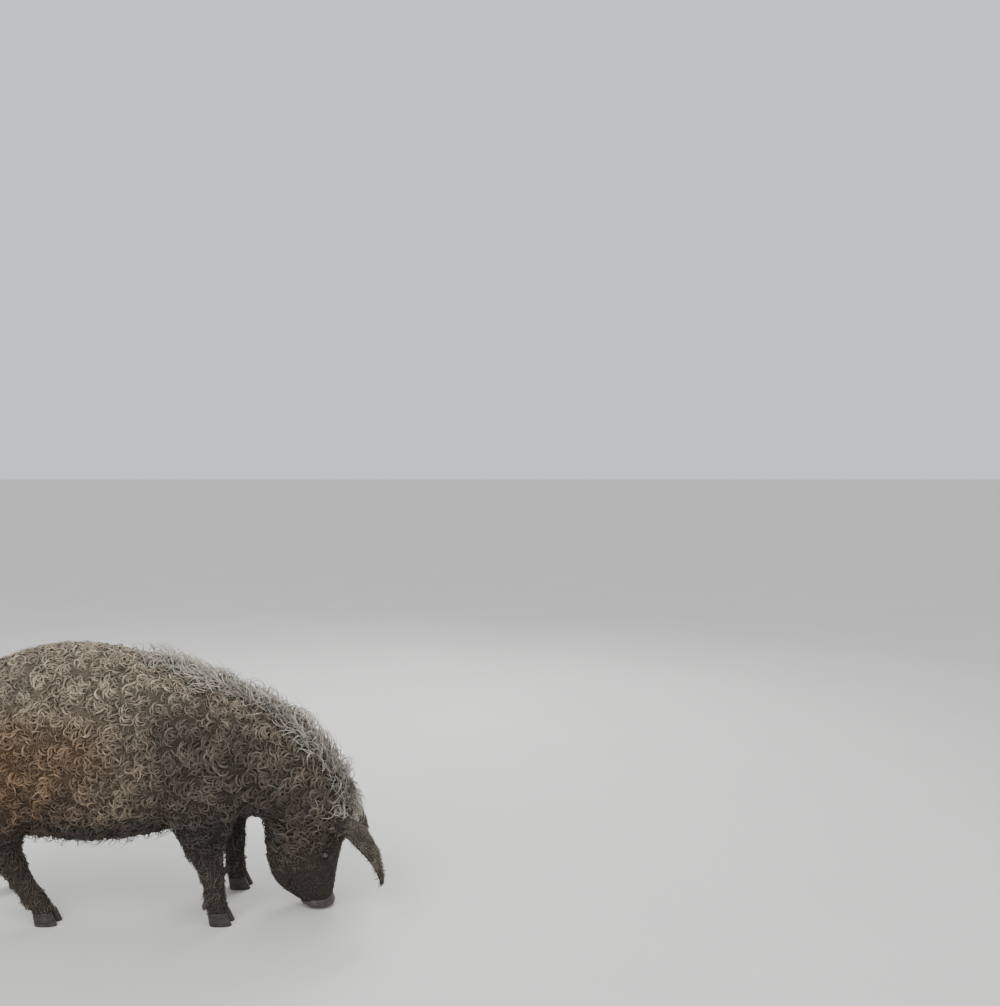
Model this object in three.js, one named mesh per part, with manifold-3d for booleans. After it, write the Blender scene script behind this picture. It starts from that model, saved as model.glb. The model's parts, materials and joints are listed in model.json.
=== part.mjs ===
// A mangalica pig at life size, standing with its head lowered to root in the ground.
// Millimetres. +X points the way the pig faces, +Y to its left, +Z up, and the floor is z = 0.
// Skin, coat core and coat tips are three offsets of one surface, lofted through named sections.
import * as THREE from "three";
import { mergeVertices } from "three/addons/utils/BufferGeometryUtils.js";
import Module from "manifold-3d";

const wasm = await Module();
wasm.setup();
const { Manifold, Mesh } = wasm;

// Driving sizes
const GAP = 0.3; // left between nodes that touch
const ORIGIN_X = 33; // moves the animal so that the origin is under the middle of its length
const CORE_SHARE = 0.42; // how much of the coat's depth is dense under-wool
const EYE_RADIUS = 13;
const CLAW_HEIGHT = 38;

// Sections of the trunk, neck and head, rump first: the back's or forehead's point [x, z],
// the belly's or jaw's point [x, z], the half width, how square the section is, and how far
// it narrows towards the back (positive) or the jaw (negative).
const BODY = [
  [[-618, 566], [-624, 500], 42, 2.0, 0.0],
  [[-596, 640], [-608, 400], 108, 2.1, 0.05],
  [[-545, 700], [-560, 332], 154, 2.15, 0.06],
  [[-470, 741], [-480, 285], 182, 2.15, 0.08],
  [[-370, 779], [-375, 254], 199, 2.2, 0.1],
  [[-250, 806], [-245, 238], 210, 2.25, 0.12],
  [[-110, 801], [-105, 232], 218, 2.3, 0.13],
  [[30, 768], [20, 246], 217, 2.3, 0.13],
  [[165, 721], [140, 272], 206, 2.25, 0.12],
  [[290, 670], [250, 292], 190, 2.2, 0.12],
  [[398, 617], [320, 301], 173, 2.15, 0.1],
  [[492, 550], [362, 298], 156, 2.15, 0.06],
  [[573, 462], [384, 280], 139, 2.15, 0.0],
  [[634, 376], [389, 246], 128, 2.2, -0.04],
  [[654, 300], [389, 205], 118, 2.25, -0.08],
  [[639, 246], [391, 162], 107, 2.3, -0.1],
  [[617, 195], [399, 114], 92, 2.35, -0.12],
  [[604, 140], [420, 74], 71, 2.4, -0.1],
  [[596, 95], [451, 47], 56, 2.4, -0.06],
  [[590, 55], [482, 31], 47, 2.4, 0.0],
  [[582, 14], [506, 26], 42, 2.2, 0.0],
];
const NECK_STATION = 9.45; // the cut between trunk and neck
const HEAD_STATION = 12.9; // the cut between neck and head
const SNOUT_STATION = 19.5; // the cut between head and snout disc

// Coat depth along the body, by section
const COAT_ALONG = [22, 24, 27, 28, 28, 28, 28, 28, 28, 29, 30, 30, 28, 22, 16, 12, 8, 5, 4, 2, 0];

// Sections down each leg: centre x, y, z, half depth fore and aft, half width. Right side, so y < 0.
const FORE_LEG = [
  [225, -118, 505, 122, 66],
  [230, -142, 425, 122, 72],
  [232, -152, 345, 106, 66],
  [234, -149, 282, 80, 56],
  [238, -141, 226, 55, 45],
  [247, -134, 182, 40, 36],
  [252, -130, 150, 37, 34],
  [256, -127, 112, 30, 27],
  [258, -126, 80, 31, 30],
  [263, -125, 56, 30, 30],
  [268, -125, CLAW_HEIGHT, 31, 32],
];
const HIND_LEG_FORWARD = [
  [-395, -112, 560, 138, 66],
  [-400, -138, 480, 148, 78],
  [-398, -154, 400, 138, 76],
  [-381, -159, 332, 110, 62],
  [-368, -153, 272, 78, 51],
  [-354, -143, 216, 51, 38],
  [-341, -137, 188, 43, 34],
  [-320, -131, 146, 32, 29],
  [-300, -127, 106, 29, 27],
  [-282, -126, 79, 31, 29],
  [-263, -125, 57, 30, 30],
  [-248, -125, CLAW_HEIGHT, 31, 32],
];
const HIND_LEG_BACK = [
  [-395, -112, 560, 138, 66],
  [-404, -138, 480, 148, 78],
  [-410, -154, 400, 138, 76],
  [-412, -159, 336, 112, 62],
  [-434, -153, 284, 78, 51],
  [-474, -143, 240, 51, 38],
  [-488, -137, 212, 44, 34],
  [-486, -132, 158, 32, 29],
  [-476, -129, 112, 29, 27],
  [-466, -128, 82, 31, 29],
  [-456, -127, 58, 30, 30],
  [-448, -127, CLAW_HEIGHT, 31, 32],
];
const FORE_STRIDE = -8; // how much further forward the left fore foot stands
const LEG_COAT = 18; // coat depth at the top of a leg, thinning to nothing at the foot
const KNEE_HEIGHT = 176; // the cut between upper and lower fore leg
const HOCK_HEIGHT = 232; // and between upper and lower hind leg
const LEVEL_FROM = 100; // leg sections broader than this lie level
const SQUARE_BELOW = 55; // and those slimmer than this stand square to the leg's line
const SOCKET_MARGIN = 34; // how far the trunk's sockets stand off the skin of the legs
const SOCKET_TOP = 1.35; // the leg section at the socket's lid

// Ears: a bent leaf whose edges curl in to a cup. The right ear lops forward, the left hangs closer.
// Along the ear, from root to tip: half width, how far the edges curl in (radians), and thickness.
const EAR_HALF_WIDTH = [38, 56, 60, 55, 42, 24, 9];
const EAR_CURL = [1.5, 1.15, 0.85, 0.7, 0.6, 0.5, 0.35];
const EAR_THICKNESS = [9, 8, 7.5, 7, 6.5, 6, 5];
const EARS = {
  ear_right: {
    path: [
      [612, -78, 318], [648, -98, 306], [696, -116, 272],
      [734, -130, 222], [754, -140, 168], [758, -147, 126],
    ],
    open: [-0.72, 0.1, -0.69],
  },
  ear_left: {
    path: [
      [617, 84, 330], [638, 98, 302], [658, 112, 262],
      [674, 121, 212], [674, 126, 160], [664, 126, 122],
    ],
    open: [-0.8, -0.15, -0.58],
  },
};

// Tail: hangs from the rump, thick at the root and again in its tuft
const TAIL_PATH = [
  [-565, 0, 616], [-622, 0, 624], [-664, -4, 592], [-680, -10, 530],
  [-678, -16, 460], [-668, -20, 392], [-660, -24, 336],
];
const TAIL_RADIUS = [24, 22, 18, 14.5, 12, 11, 6];
const TAIL_RINGS = 12;
const TAIL_SIDES = 9;

// Face
const EYE_STATION = 15.75;
const EYE_ANGLE = 0.62; // up from the middle of the cheek towards the forehead
const EYE_SINK = 6; // how far the eyeball's middle lies under the skin
const LID = { radii: [3, 4.6, 5.2, 4.6, 3], reach: 4, upper: 0.62, lower: 0.75, proud: 4, bulge: 6.5 };
const MOUTH = [[19.3, -0.5], [18.4, -0.64], [17.4, -0.54], [16.6, -0.3]]; // station, angle
const LIP_RADIUS = 4.5;
const LIP_APART = 0.13; // between the middle of a lip and the line of the mouth, in radians
const SNOUT = { centre: [541, 0, 10], halfDepth: 49, halfWidth: 46, face: [-0.12, 0, -0.99], sides: 16 };
const SNOUT_RINGS = [[0, 1], [0.35, 1.1], [0.8, 1.1], [1, 0.94]]; // share of its length, swelling
const NOSTRIL = { apart: 17, forward: 4, radius: 9, depth: 13, outside: 6 };

// Claws: two to a foot, each a wedge with a rounded toe and a flat sole, and two dewclaws behind
const CLAW = { halfLength: 33, halfWidth: 14.5, apart: 17.5, slope: 12, topShrink: 0.8, sides: 10 };
const CLAW_LEVELS = [0, 4, 22, CLAW_HEIGHT - GAP];
// From root to tip: distance behind the foot's middle, distance apart, height and radius
const DEWCLAW = [[10, 15, 77, 10], [30, 18, 66, 10], [37, 19, 47, 5]];

// Hair: a clump is a rounded mound of curls, pushed along the lie towards its top.
// A row per outline: height in shares of the coat's depth, size, and shift along the lie.
const CLUMP = [[0.05, 0.86, -0.12], [0.72, 0.9, 0.04]];
const CLUMP_TOP = [1.04, 0.24]; // height and shift of the middle of its top
const CLUMP_SIDES = 6;
const CLUMP_HALF_LENGTH = 0.66; // in shares of the spacing between clumps
const CLUMP_HALF_WIDTH = 0.52;
const CLUMP_TURN = 0.7; // radians either way off the lie
const LEG_CLUMPS = { from: 1.2, to: 4.2, spacing: 124, closing: 10, outside: 120, proud: 4 };
// A lock is flat and tapered. A row per ring: how far along its length, height in shares of the
// coat's depth, and the shares of its half width and half thickness.
const LOCK = [[-0.1, -0.3, 0.8, 1.0], [0.35, 1.0, 1.0, 0.8], [0.85, 1.5, 0.4, 0.4]];
const LOCK_SIDES = 4;
const LOCK_THICKNESS = 4;
const CREST = { from: 7.4, rows: 11, apart: 0.22, part: 0.8, length: [78, 100], half: [17, 22], bend: 0.4 };
const FORELOCK = { to: 14.6, count: 5, spread: 0.7, length: [62, 80], half: [12, 16], depth: 17, bend: 0.3 };
const TAIL_TUFT = { from: 0.62, to: 0.93, count: 7, length: [70, 92], half: [9, 12], depth: 9, bend: 0.3 };
const POLL_STATION = 12.7; // where the crest ends and the forelock starts
const CREST_ANGLE = 0.35; // how far from the spine the locks of the crest and forelock cover
const FORELOCK_ANGLE = 0.8;

// Even random numbers from a fixed seed
function seeded(seed) {
  let state = seed;
  return (low, high) => {
    state = (state + 0x6d2b79f5) | 0;
    let v = Math.imul(state ^ (state >>> 15), 1 | state);
    v = (v + Math.imul(v ^ (v >>> 7), 61 | v)) ^ v;
    return low + ((high - low) * ((v ^ (v >>> 14)) >>> 0)) / 2 ** 32;
  };
}

// Smooth reading of a list at a fractional place
const smooth = (list, t) => {
  const i = Math.min(Math.max(Math.floor(t), 0), list.length - 2);
  const f = Math.min(Math.max(t - i, 0), 1);
  const at = (k) => list[Math.min(Math.max(k, 0), list.length - 1)];
  const [a, b, c, d] = [at(i - 1), at(i), at(i + 1), at(i + 2)];
  return b + 0.5 * f * (c - a + f * (2 * a - 5 * b + 4 * c - d + f * (3 * (b - c) + d - a)));
};
const column = (rows, pick) => rows.map(pick);
const TOP_X = column(BODY, (s) => s[0][0]);
const TOP_Z = column(BODY, (s) => s[0][1]);
const LOW_X = column(BODY, (s) => s[1][0]);
const LOW_Z = column(BODY, (s) => s[1][1]);
const HALF = column(BODY, (s) => s[2]);
const SQUARE = column(BODY, (s) => s[3]);
const PEAR = column(BODY, (s) => s[4]);
const END = BODY.length - 1;
const coatAt = (t) => smooth(COAT_ALONG, t);

const power = (v, e) => Math.sign(v) * Math.abs(v) ** e;
const steps = (from, to, count) =>
  Array.from({ length: count }, (_, i) => from + ((to - from) * i) / (count - 1));
const ringAngles = (sides) => steps(0, 2 * Math.PI, sides + 1).slice(0, sides);
const UP = new THREE.Vector3(0, 0, 1);
const BACK = Math.PI / 2; // the angle of the spine, with the left flank at 0 and the belly at -BACK

// A point of the body's surface: t counts sections, angle runs from the left side over the back,
// and lift is the distance outside the skin.
function bodyPoint(t, angle, lift) {
  const low = new THREE.Vector3(smooth(LOW_X, t), 0, smooth(LOW_Z, t));
  const top = new THREE.Vector3(smooth(TOP_X, t), 0, smooth(TOP_Z, t));
  const up = top.clone().sub(low);
  const halfHeight = up.length() / 2 + lift;
  up.normalize();
  const e = 2 / smooth(SQUARE, t);
  const s = power(Math.sin(angle), e);
  const side = (smooth(HALF, t) * (1 - smooth(PEAR, t) * s) + lift) * power(Math.cos(angle), e);
  return low.add(top).multiplyScalar(0.5).addScaledVector(up, halfHeight * s).setY(side);
}

// A point of a leg's surface, with t counting its sections downwards
function legPoint(leg, t, angle, lift) {
  const at = (k, u) => smooth(column(leg, (s) => s[k]), u);
  const d = 0.3;
  const t0 = Math.max(t - d, 0);
  const t1 = Math.min(t + d, leg.length - 1);
  const line = new THREE.Vector3(at(0, t1) - at(0, t0), 0, at(2, t1) - at(2, t0)).normalize();
  const broad = THREE.MathUtils.smoothstep(at(3, t), SQUARE_BELOW, LEVEL_FROM);
  const foot = THREE.MathUtils.smoothstep(t, leg.length - 3, leg.length - 1.5);
  line.lerp(new THREE.Vector3(0, 0, -1), Math.max(broad, foot)).normalize();
  const fore = new THREE.Vector3(-line.z, 0, line.x);
  return new THREE.Vector3(at(0, t), at(1, t), at(2, t))
    .addScaledVector(fore, (at(3, t) + lift) * Math.cos(angle))
    .add(new THREE.Vector3(0, (at(4, t) + lift) * Math.sin(angle), 0));
}

// A point of the surface of a tube with radii read along its path
function tubePoint(curve, radii, t, angle, lift) {
  const s = Math.min(Math.max(t, 0), 1);
  const along = curve.getTangentAt(s);
  const across = new THREE.Vector3(0, 1, 0).addScaledVector(along, -along.y).normalize();
  const other = new THREE.Vector3().crossVectors(along, across);
  const radius = smooth(radii, s * (radii.length - 1)) + lift;
  return curve
    .getPointAt(s)
    .addScaledVector(across, radius * Math.cos(angle))
    .addScaledVector(other, radius * Math.sin(angle));
}

const curveThrough = (path) => new THREE.CatmullRomCurve3(path.map((p) => new THREE.Vector3(...p)));

const middle = (ring) =>
  ring.reduce((sum, p) => sum.add(p), new THREE.Vector3()).multiplyScalar(1 / ring.length);

function solidFromFaces(points, faces) {
  let volume = 0;
  for (let i = 0; i < faces.length; i += 3) {
    const [a, b, c] = [points[faces[i]], points[faces[i + 1]], points[faces[i + 2]]];
    volume += a.dot(b.clone().cross(c));
  }
  if (volume < 0)
    for (let i = 0; i < faces.length; i += 3)
      [faces[i + 1], faces[i + 2]] = [faces[i + 2], faces[i + 1]];
  const vertProperties = new Float32Array(points.flatMap((p) => [p.x, p.y, p.z]));
  return new Manifold(new Mesh({ numProp: 3, vertProperties, triVerts: new Uint32Array(faces) }));
}

// Closed solid through rings of equal count, with a fan over each end about a middle point. The
// rings of a thin curled leaf run out along one face and back along the other, and a strip
// closes its ends.
const FLAT_END = null;
function solidFromRings(rings, top = middle(rings[rings.length - 1])) {
  const count = rings[0].length;
  const points = rings.flat();
  const faces = [];
  for (let r = 0; r + 1 < rings.length; r++)
    for (let i = 0; i < count; i++) {
      const j = (i + 1) % count;
      const [a, b, c, d] = [r * count + i, r * count + j, (r + 1) * count + j, (r + 1) * count + i];
      faces.push(a, b, c, a, c, d);
    }
  const end = (rings.length - 1) * count;
  if (top === FLAT_END) {
    for (let i = 0; i + 1 < count / 2; i++) {
      const [a, b, c, d] = [i, i + 1, count - 2 - i, count - 1 - i];
      faces.push(a, c, b, a, d, c, end + a, end + b, end + c, end + a, end + c, end + d);
    }
    return solidFromFaces(points, faces);
  }
  const first = points.push(middle(rings[0])) - 1;
  const last = points.push(top) - 1;
  for (let i = 0; i < count; i++) {
    const j = (i + 1) % count;
    faces.push(first, j, i, last, end + i, end + j);
  }
  return solidFromFaces(points, faces);
}

function solidFromGeometry(geometry) {
  const bare = geometry.clone();
  bare.deleteAttribute("normal");
  bare.deleteAttribute("uv");
  const merged = mergeVertices(bare, 1e-3);
  return new Manifold(
    new Mesh({
      numProp: 3,
      vertProperties: new Float32Array(merged.attributes.position.array),
      triVerts: new Uint32Array(merged.index.array),
    }),
  );
}

const surfaceLoft = (pointAt, from, to, rings, sides, liftAt) =>
  solidFromRings(
    steps(from, to, rings).map((t) => ringAngles(sides).map((a) => pointAt(t, a, liftAt(t)))),
  );

const tubeSolid = (path, radii, rings, sides, grow = 0) =>
  surfaceLoft(
    (t, a, lift) => tubePoint(curveThrough(path), radii, t, a, lift), 0, 1, rings, sides, () => grow,
  );

// How a surface runs at a place: its two directions, and the normal towards growing lift
function surfaceFrame(pointAt, t, angle) {
  const d = 0.02;
  const along = pointAt(t + d, angle, 0).sub(pointAt(t - d, angle, 0)).divideScalar(2 * d);
  const around = pointAt(t, angle + d, 0).sub(pointAt(t, angle - d, 0)).divideScalar(2 * d);
  const normal = along.clone().cross(around).normalize();
  const outward = pointAt(t, angle, 10).sub(pointAt(t, angle, 0));
  return { along, around, normal: outward.dot(normal) < 0 ? normal.negate() : normal };
}

// The change of t and angle that makes a step over a surface
function stepOver({ along, around }, step) {
  const [aa, ab, bb] = [along.dot(along), along.dot(around), around.dot(around)];
  const [sa, sb] = [step.dot(along), step.dot(around)];
  const det = aa * bb - ab * ab;
  return [(sa * bb - sb * ab) / det, (sb * aa - sa * ab) / det];
}

// A place on a surface and the ways of the hair there
function lieOver(pointAt, t, angle, lie) {
  const root = surfaceFrame(pointAt, t, angle);
  const ahead = lie.clone().projectOnPlane(root.normal).normalize();
  return { root, ahead, aside: new THREE.Vector3().crossVectors(root.normal, ahead) };
}

function clumpSolid(pointAt, t, angle, lie, { halfLength, halfWidth, depth, bend }) {
  const { root, ahead, aside } = lieOver(pointAt, t, angle, lie);
  const over = (forward, sideways, height) => {
    const step = ahead.clone().multiplyScalar(forward).addScaledVector(aside, sideways);
    const [dt, da] = stepOver(root, step);
    return pointAt(t + dt, angle + da, height * depth);
  };
  const outlines = CLUMP.map(([height, size, shift]) =>
    ringAngles(CLUMP_SIDES).map((a) =>
      over(
        halfLength * (shift + size * Math.cos(a)),
        halfWidth * size * Math.sin(a) + bend * shift * halfLength,
        height,
      ),
    ),
  );
  const [height, shift] = CLUMP_TOP;
  return solidFromRings(outlines, over(halfLength * shift, bend * shift * halfLength, height));
}

// A lock: few-sided rings along a line over the surface that rises by the shape's heights
function lockSolid(pointAt, t, angle, lie, { length, half, depth, bend }) {
  const { root, ahead, aside } = lieOver(pointAt, t, angle, lie);
  const rings = LOCK.map(([forward, height, wide, thick]) => {
    const swerve = bend * forward * Math.abs(forward) * length;
    const step = ahead.clone().multiplyScalar(forward * length).addScaledVector(aside, swerve);
    const [dt, da] = stepOver(root, step);
    const { normal } = surfaceFrame(pointAt, t + dt, angle + da);
    const heading = ahead.clone().addScaledVector(aside, 2 * bend * Math.abs(forward));
    const across = new THREE.Vector3().crossVectors(normal, heading).normalize();
    const centre = pointAt(t + dt, angle + da, height * depth);
    return ringAngles(LOCK_SIDES).map((a) =>
      centre
        .clone()
        .addScaledVector(across, half * wide * Math.cos(a))
        .addScaledVector(normal, LOCK_THICKNESS * thick * Math.sin(a)),
    );
  });
  return solidFromRings(rings);
}

// Places scattered over a surface, each at least its own spacing from the others
function scattered(pointAt, [fromT, toT], [fromAngle, toAngle], spacingAt, darts, random, wanted) {
  const kept = [];
  for (let i = 0; i < darts; i++) {
    const t = random(fromT, toT);
    const angle = random(fromAngle, toAngle);
    const point = pointAt(t, angle, 0);
    const spacing = spacingAt(t);
    if (wanted(point, t, angle) && kept.every((k) => k.point.distanceTo(point) > spacing))
      kept.push({ t, angle, point, spacing });
  }
  return kept;
}

function clumpsOver(pointAt, places, lieAt, depthAt, random) {
  return places.map(({ t, angle, spacing }) => {
    const { normal } = surfaceFrame(pointAt, t, angle);
    const size = random(0.88, 1.12);
    const lie = lieAt(t, angle).applyAxisAngle(normal, random(-CLUMP_TURN, CLUMP_TURN));
    return clumpSolid(pointAt, t, angle, lie, {
      halfLength: spacing * CLUMP_HALF_LENGTH * size,
      halfWidth: spacing * CLUMP_HALF_WIDTH * size,
      depth: depthAt(t),
      bend: random(-1, 1),
    });
  });
}

// The coat on trunk, neck and cheeks lies backwards and, down the flanks, downwards
const bodyLie = (t, angle) =>
  surfaceFrame(bodyPoint, t, angle).along.normalize().negate().addScaledVector(UP, -0.55);
const random = seeded(11);
const CLUMP_SPACING = [[0, 119], [8.5, 119], [11, 104], [13.2, 93], [17.5, 75]]; // station, mm
const CLUMPS_TO = 16.6; // the last station with clumps, at the end of the cheek
const LEAST_CLUMP = 9; // how deep the smallest clumps are
const spacingAt = (t) => {
  const next = CLUMP_SPACING.findIndex(([station]) => station > t);
  const [[t0, s0], [t1, s1]] = [CLUMP_SPACING[next - 1], CLUMP_SPACING[next]];
  return s0 + ((s1 - s0) * (t - t0)) / (t1 - t0);
};
const eyeCentre = (side) => {
  const p = bodyPoint(EYE_STATION, EYE_ANGLE, -EYE_SINK);
  return p.setY(side * p.y);
};
const mirrored = (leg) => leg.map(([x, y, z, rx, ry]) => [x, -y, z, rx, ry]);
const strode = (leg, step) =>
  leg.map(([x, y, z, rx, ry], i) => [x + (step * i) / (leg.length - 1), y, z, rx, ry]);
const LEGS = {
  fore_right: { line: FORE_LEG, joint: KNEE_HEIGHT },
  fore_left: { line: mirrored(strode(FORE_LEG, FORE_STRIDE)), joint: KNEE_HEIGHT },
  hind_right: { line: HIND_LEG_FORWARD, joint: HOCK_HEIGHT },
  hind_left: { line: mirrored(HIND_LEG_BACK), joint: HOCK_HEIGHT },
};

const EYE_CLEAR = 52; // no clump closer than this to an eye
const clearOfEyes = (point) => [-1, 1].every((side) => eyeCentre(side).distanceTo(point) > EYE_CLEAR);
const insideLeg = (point) =>
  Object.values(LEGS).some(({ line }) => {
    const t = line.findIndex((section) => section[2] < point.z);
    if (t < 1) return false;
    const [x, y, , rx, ry] = line[t];
    return ((point.x - x) / rx) ** 2 + ((point.y - y) / ry) ** 2 < 1;
  });
const underLocks = (t, angle) => {
  const fromSpine = Math.abs(Math.atan2(Math.cos(angle), Math.sin(angle)));
  const covered = t < POLL_STATION ? CREST_ANGLE : FORELOCK_ANGLE;
  return t > CREST.from && t < FORELOCK.to && fromSpine < covered;
};
const bodyPlaces = scattered(
  bodyPoint, [0.15, CLUMPS_TO], [-Math.PI, Math.PI], spacingAt, 9000, random,
  (point, t, angle) => clearOfEyes(point) && !insideLeg(point) && !underLocks(t, angle),
);
const bodyDepth = (t) => Math.max(coatAt(t), LEAST_CLUMP);
const bodyClumps = clumpsOver(bodyPoint, bodyPlaces, bodyLie, bodyDepth, random);

// The room a leg takes in the trunk: level rings about the leg's line, wider than the leg by a margin
function socketSolid(leg, grow) {
  const last = leg.length - 1;
  const rings = steps(SOCKET_TOP, last, 10).map((t) => {
    const [x, y, z, rx, ry] = [0, 1, 2, 3, 4].map((k) => smooth(column(leg, (s) => s[k]), t));
    const height = t === last ? -CLAW_HEIGHT : z + (t === SOCKET_TOP ? grow : 0);
    return ringAngles(14).map(
      (a) =>
        new THREE.Vector3(
          x + (rx + SOCKET_MARGIN + grow) * Math.cos(a),
          y + (ry + SOCKET_MARGIN + grow) * Math.sin(a),
          height,
        ),
    );
  });
  return solidFromRings(rings);
}

// A slab-sided box on the far side of a plane, used to part the body with thin cuts
function beyond(point, normal) {
  const size = 2400;
  const box = new THREE.BoxGeometry(size, size, size).translate(0, 0, size / 2);
  const turn = new THREE.Quaternion().setFromUnitVectors(UP, normal.clone().normalize());
  return solidFromGeometry(box.applyQuaternion(turn).translate(point.x, point.y, point.z));
}
const planeAt = (t) => {
  const low = bodyPoint(t, -BACK, 0);
  const up = bodyPoint(t, BACK, 0).sub(low).normalize();
  return { point: low, normal: new THREE.Vector3(up.z, 0, -up.x) };
};
const shifted = ({ point, normal }, by) => beyond(point.clone().addScaledVector(normal, by), normal);

// Legs: a core of short wool, with clumps down the outside of thigh and shoulder
function legSolids({ line }) {
  const footing = line.length - 4;
  const coat = (t) => LEG_COAT * Math.max(0, 1 - t / footing);
  const pointAt = (t, angle, lift) => legPoint(line, t, angle, lift);
  const core = surfaceLoft(pointAt, 0, line.length - 1, 15, 12, (t) => 2 + coat(t) * CORE_SHARE);
  const { from, to, spacing, closing, outside, proud } = LEG_CLUMPS;
  const places = scattered(
    pointAt, [from, to], [-Math.PI, Math.PI], (t) => spacing - closing * t, 500, random,
    (point) => Math.abs(point.y) > outside,
  );
  const lie = () => new THREE.Vector3(-0.35, 0, -1);
  return [core, ...clumpsOver(pointAt, places, lie, (t) => coat(t) + proud, random)];
}

// Longer hair: the crest of the neck, the forelock between the ears and the tail's tuft
const madeFrom = ({ length, half, bend }, depth) => ({
  length: random(...length),
  half: random(...half),
  depth,
  bend: random(-bend, bend),
});
function crestLocks() {
  const locks = [];
  for (const [row, t] of steps(CREST.from, POLL_STATION, CREST.rows).entries())
    for (const side of row % 2 === 0 ? [0] : [-1, 1]) {
      const lie = surfaceFrame(bodyPoint, t, BACK).along.normalize().negate();
      lie.add(new THREE.Vector3(0, side * CREST.part, 0));
      const place = t + random(-0.1, 0.1);
      const shape = madeFrom(CREST, coatAt(t) + 2);
      locks.push(lockSolid(bodyPoint, place, BACK - side * CREST.apart, lie, shape));
    }
  return locks;
}

function forelock() {
  return steps(-FORELOCK.spread, FORELOCK.spread, FORELOCK.count).map((across, i) => {
    const t = POLL_STATION + 0.5 + 0.3 * (i % 2);
    const lie = surfaceFrame(bodyPoint, t, BACK).along.normalize().setY(-across * 0.4);
    return lockSolid(bodyPoint, t, BACK - across, lie, madeFrom(FORELOCK, FORELOCK.depth));
  });
}

const tailPoint = (t, angle, lift) => tubePoint(curveThrough(TAIL_PATH), TAIL_RADIUS, t, angle, lift);
const tailCore = (grow) => tubeSolid(TAIL_PATH, TAIL_RADIUS, TAIL_RINGS, TAIL_SIDES, grow);
function tailSolid() {
  const down = new THREE.Vector3(0, 0, -1);
  const locks = steps(TAIL_TUFT.from, TAIL_TUFT.to, TAIL_TUFT.count).map((t, i) =>
    lockSolid(tailPoint, t, i * 2.4, down, madeFrom(TAIL_TUFT, TAIL_TUFT.depth)),
  );
  return Manifold.union([tailCore(0), ...locks]);
}

function earSolid({ path, open }, grow) {
  const curve = curveThrough(path);
  const cupped = new THREE.Vector3(...open);
  const rings = steps(0, 1, 9).map((s) => {
    const centre = curve.getPointAt(s);
    const along = curve.getTangentAt(s);
    if (s === 0) centre.addScaledVector(along, -grow);
    if (s === 1) centre.addScaledVector(along, grow);
    const cup = cupped.clone().addScaledVector(along, -along.dot(cupped)).normalize();
    const across = new THREE.Vector3().crossVectors(along, cup);
    const u = s * (EAR_HALF_WIDTH.length - 1);
    const curl = smooth(EAR_CURL, u);
    const radius = smooth(EAR_HALF_WIDTH, u) / curl;
    const thick = smooth(EAR_THICKNESS, u) / 2 + grow;
    const edge = (turn, out) =>
      centre
        .clone()
        .addScaledVector(across, (radius + out) * Math.sin(turn))
        .addScaledVector(cup, radius - (radius + out) * Math.cos(turn));
    const reach = curl + grow / radius;
    const turns = steps(-reach, reach, 7);
    return [
      ...turns.map((turn) => edge(turn, thick)),
      ...turns.reverse().map((turn) => edge(turn * 0.94, -thick)),
    ];
  });
  return solidFromRings(rings, FLAT_END);
}

// Eyes with a lid above and below, each a rounded fold over the edge of the eyeball
const eyeSolid = (side, radius) => {
  const c = eyeCentre(side);
  return solidFromGeometry(new THREE.IcosahedronGeometry(radius, 2).translate(c.x, c.y, c.z));
};
function lidSolid(side, above) {
  const centre = eyeCentre(side);
  const { along, normal } = surfaceFrame(bodyPoint, EYE_STATION, EYE_ANGLE);
  const flip = new THREE.Vector3(1, side, 1);
  const out = normal.clone().multiply(flip);
  const ahead = along.normalize().multiply(flip);
  const rise = new THREE.Vector3().crossVectors(out, ahead).multiplyScalar(side * above);
  const path = steps(-1, 1, 5).map((s) => {
    const bow = Math.sqrt(1 - 0.75 * s * s);
    return centre
      .clone()
      .addScaledVector(ahead, s * (EYE_RADIUS + LID.reach))
      .addScaledVector(rise, bow * EYE_RADIUS * (above > 0 ? LID.upper : LID.lower))
      .addScaledVector(out, LID.proud + bow * LID.bulge)
      .toArray();
  });
  return tubeSolid(path, LID.radii, 5, 4);
}

// The line of the mouth and its lips run over the head's surface through named places
function mouthTube(side, angleShift, sink, radius) {
  const path = MOUTH.map(([t, angle]) => {
    const p = bodyPoint(t, angle + angleShift, coatAt(t) * CORE_SHARE - sink);
    return [p.x, side * p.y, p.z];
  });
  return tubeSolid(path, [radius, radius, radius * 0.7], 6, 4);
}

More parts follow.
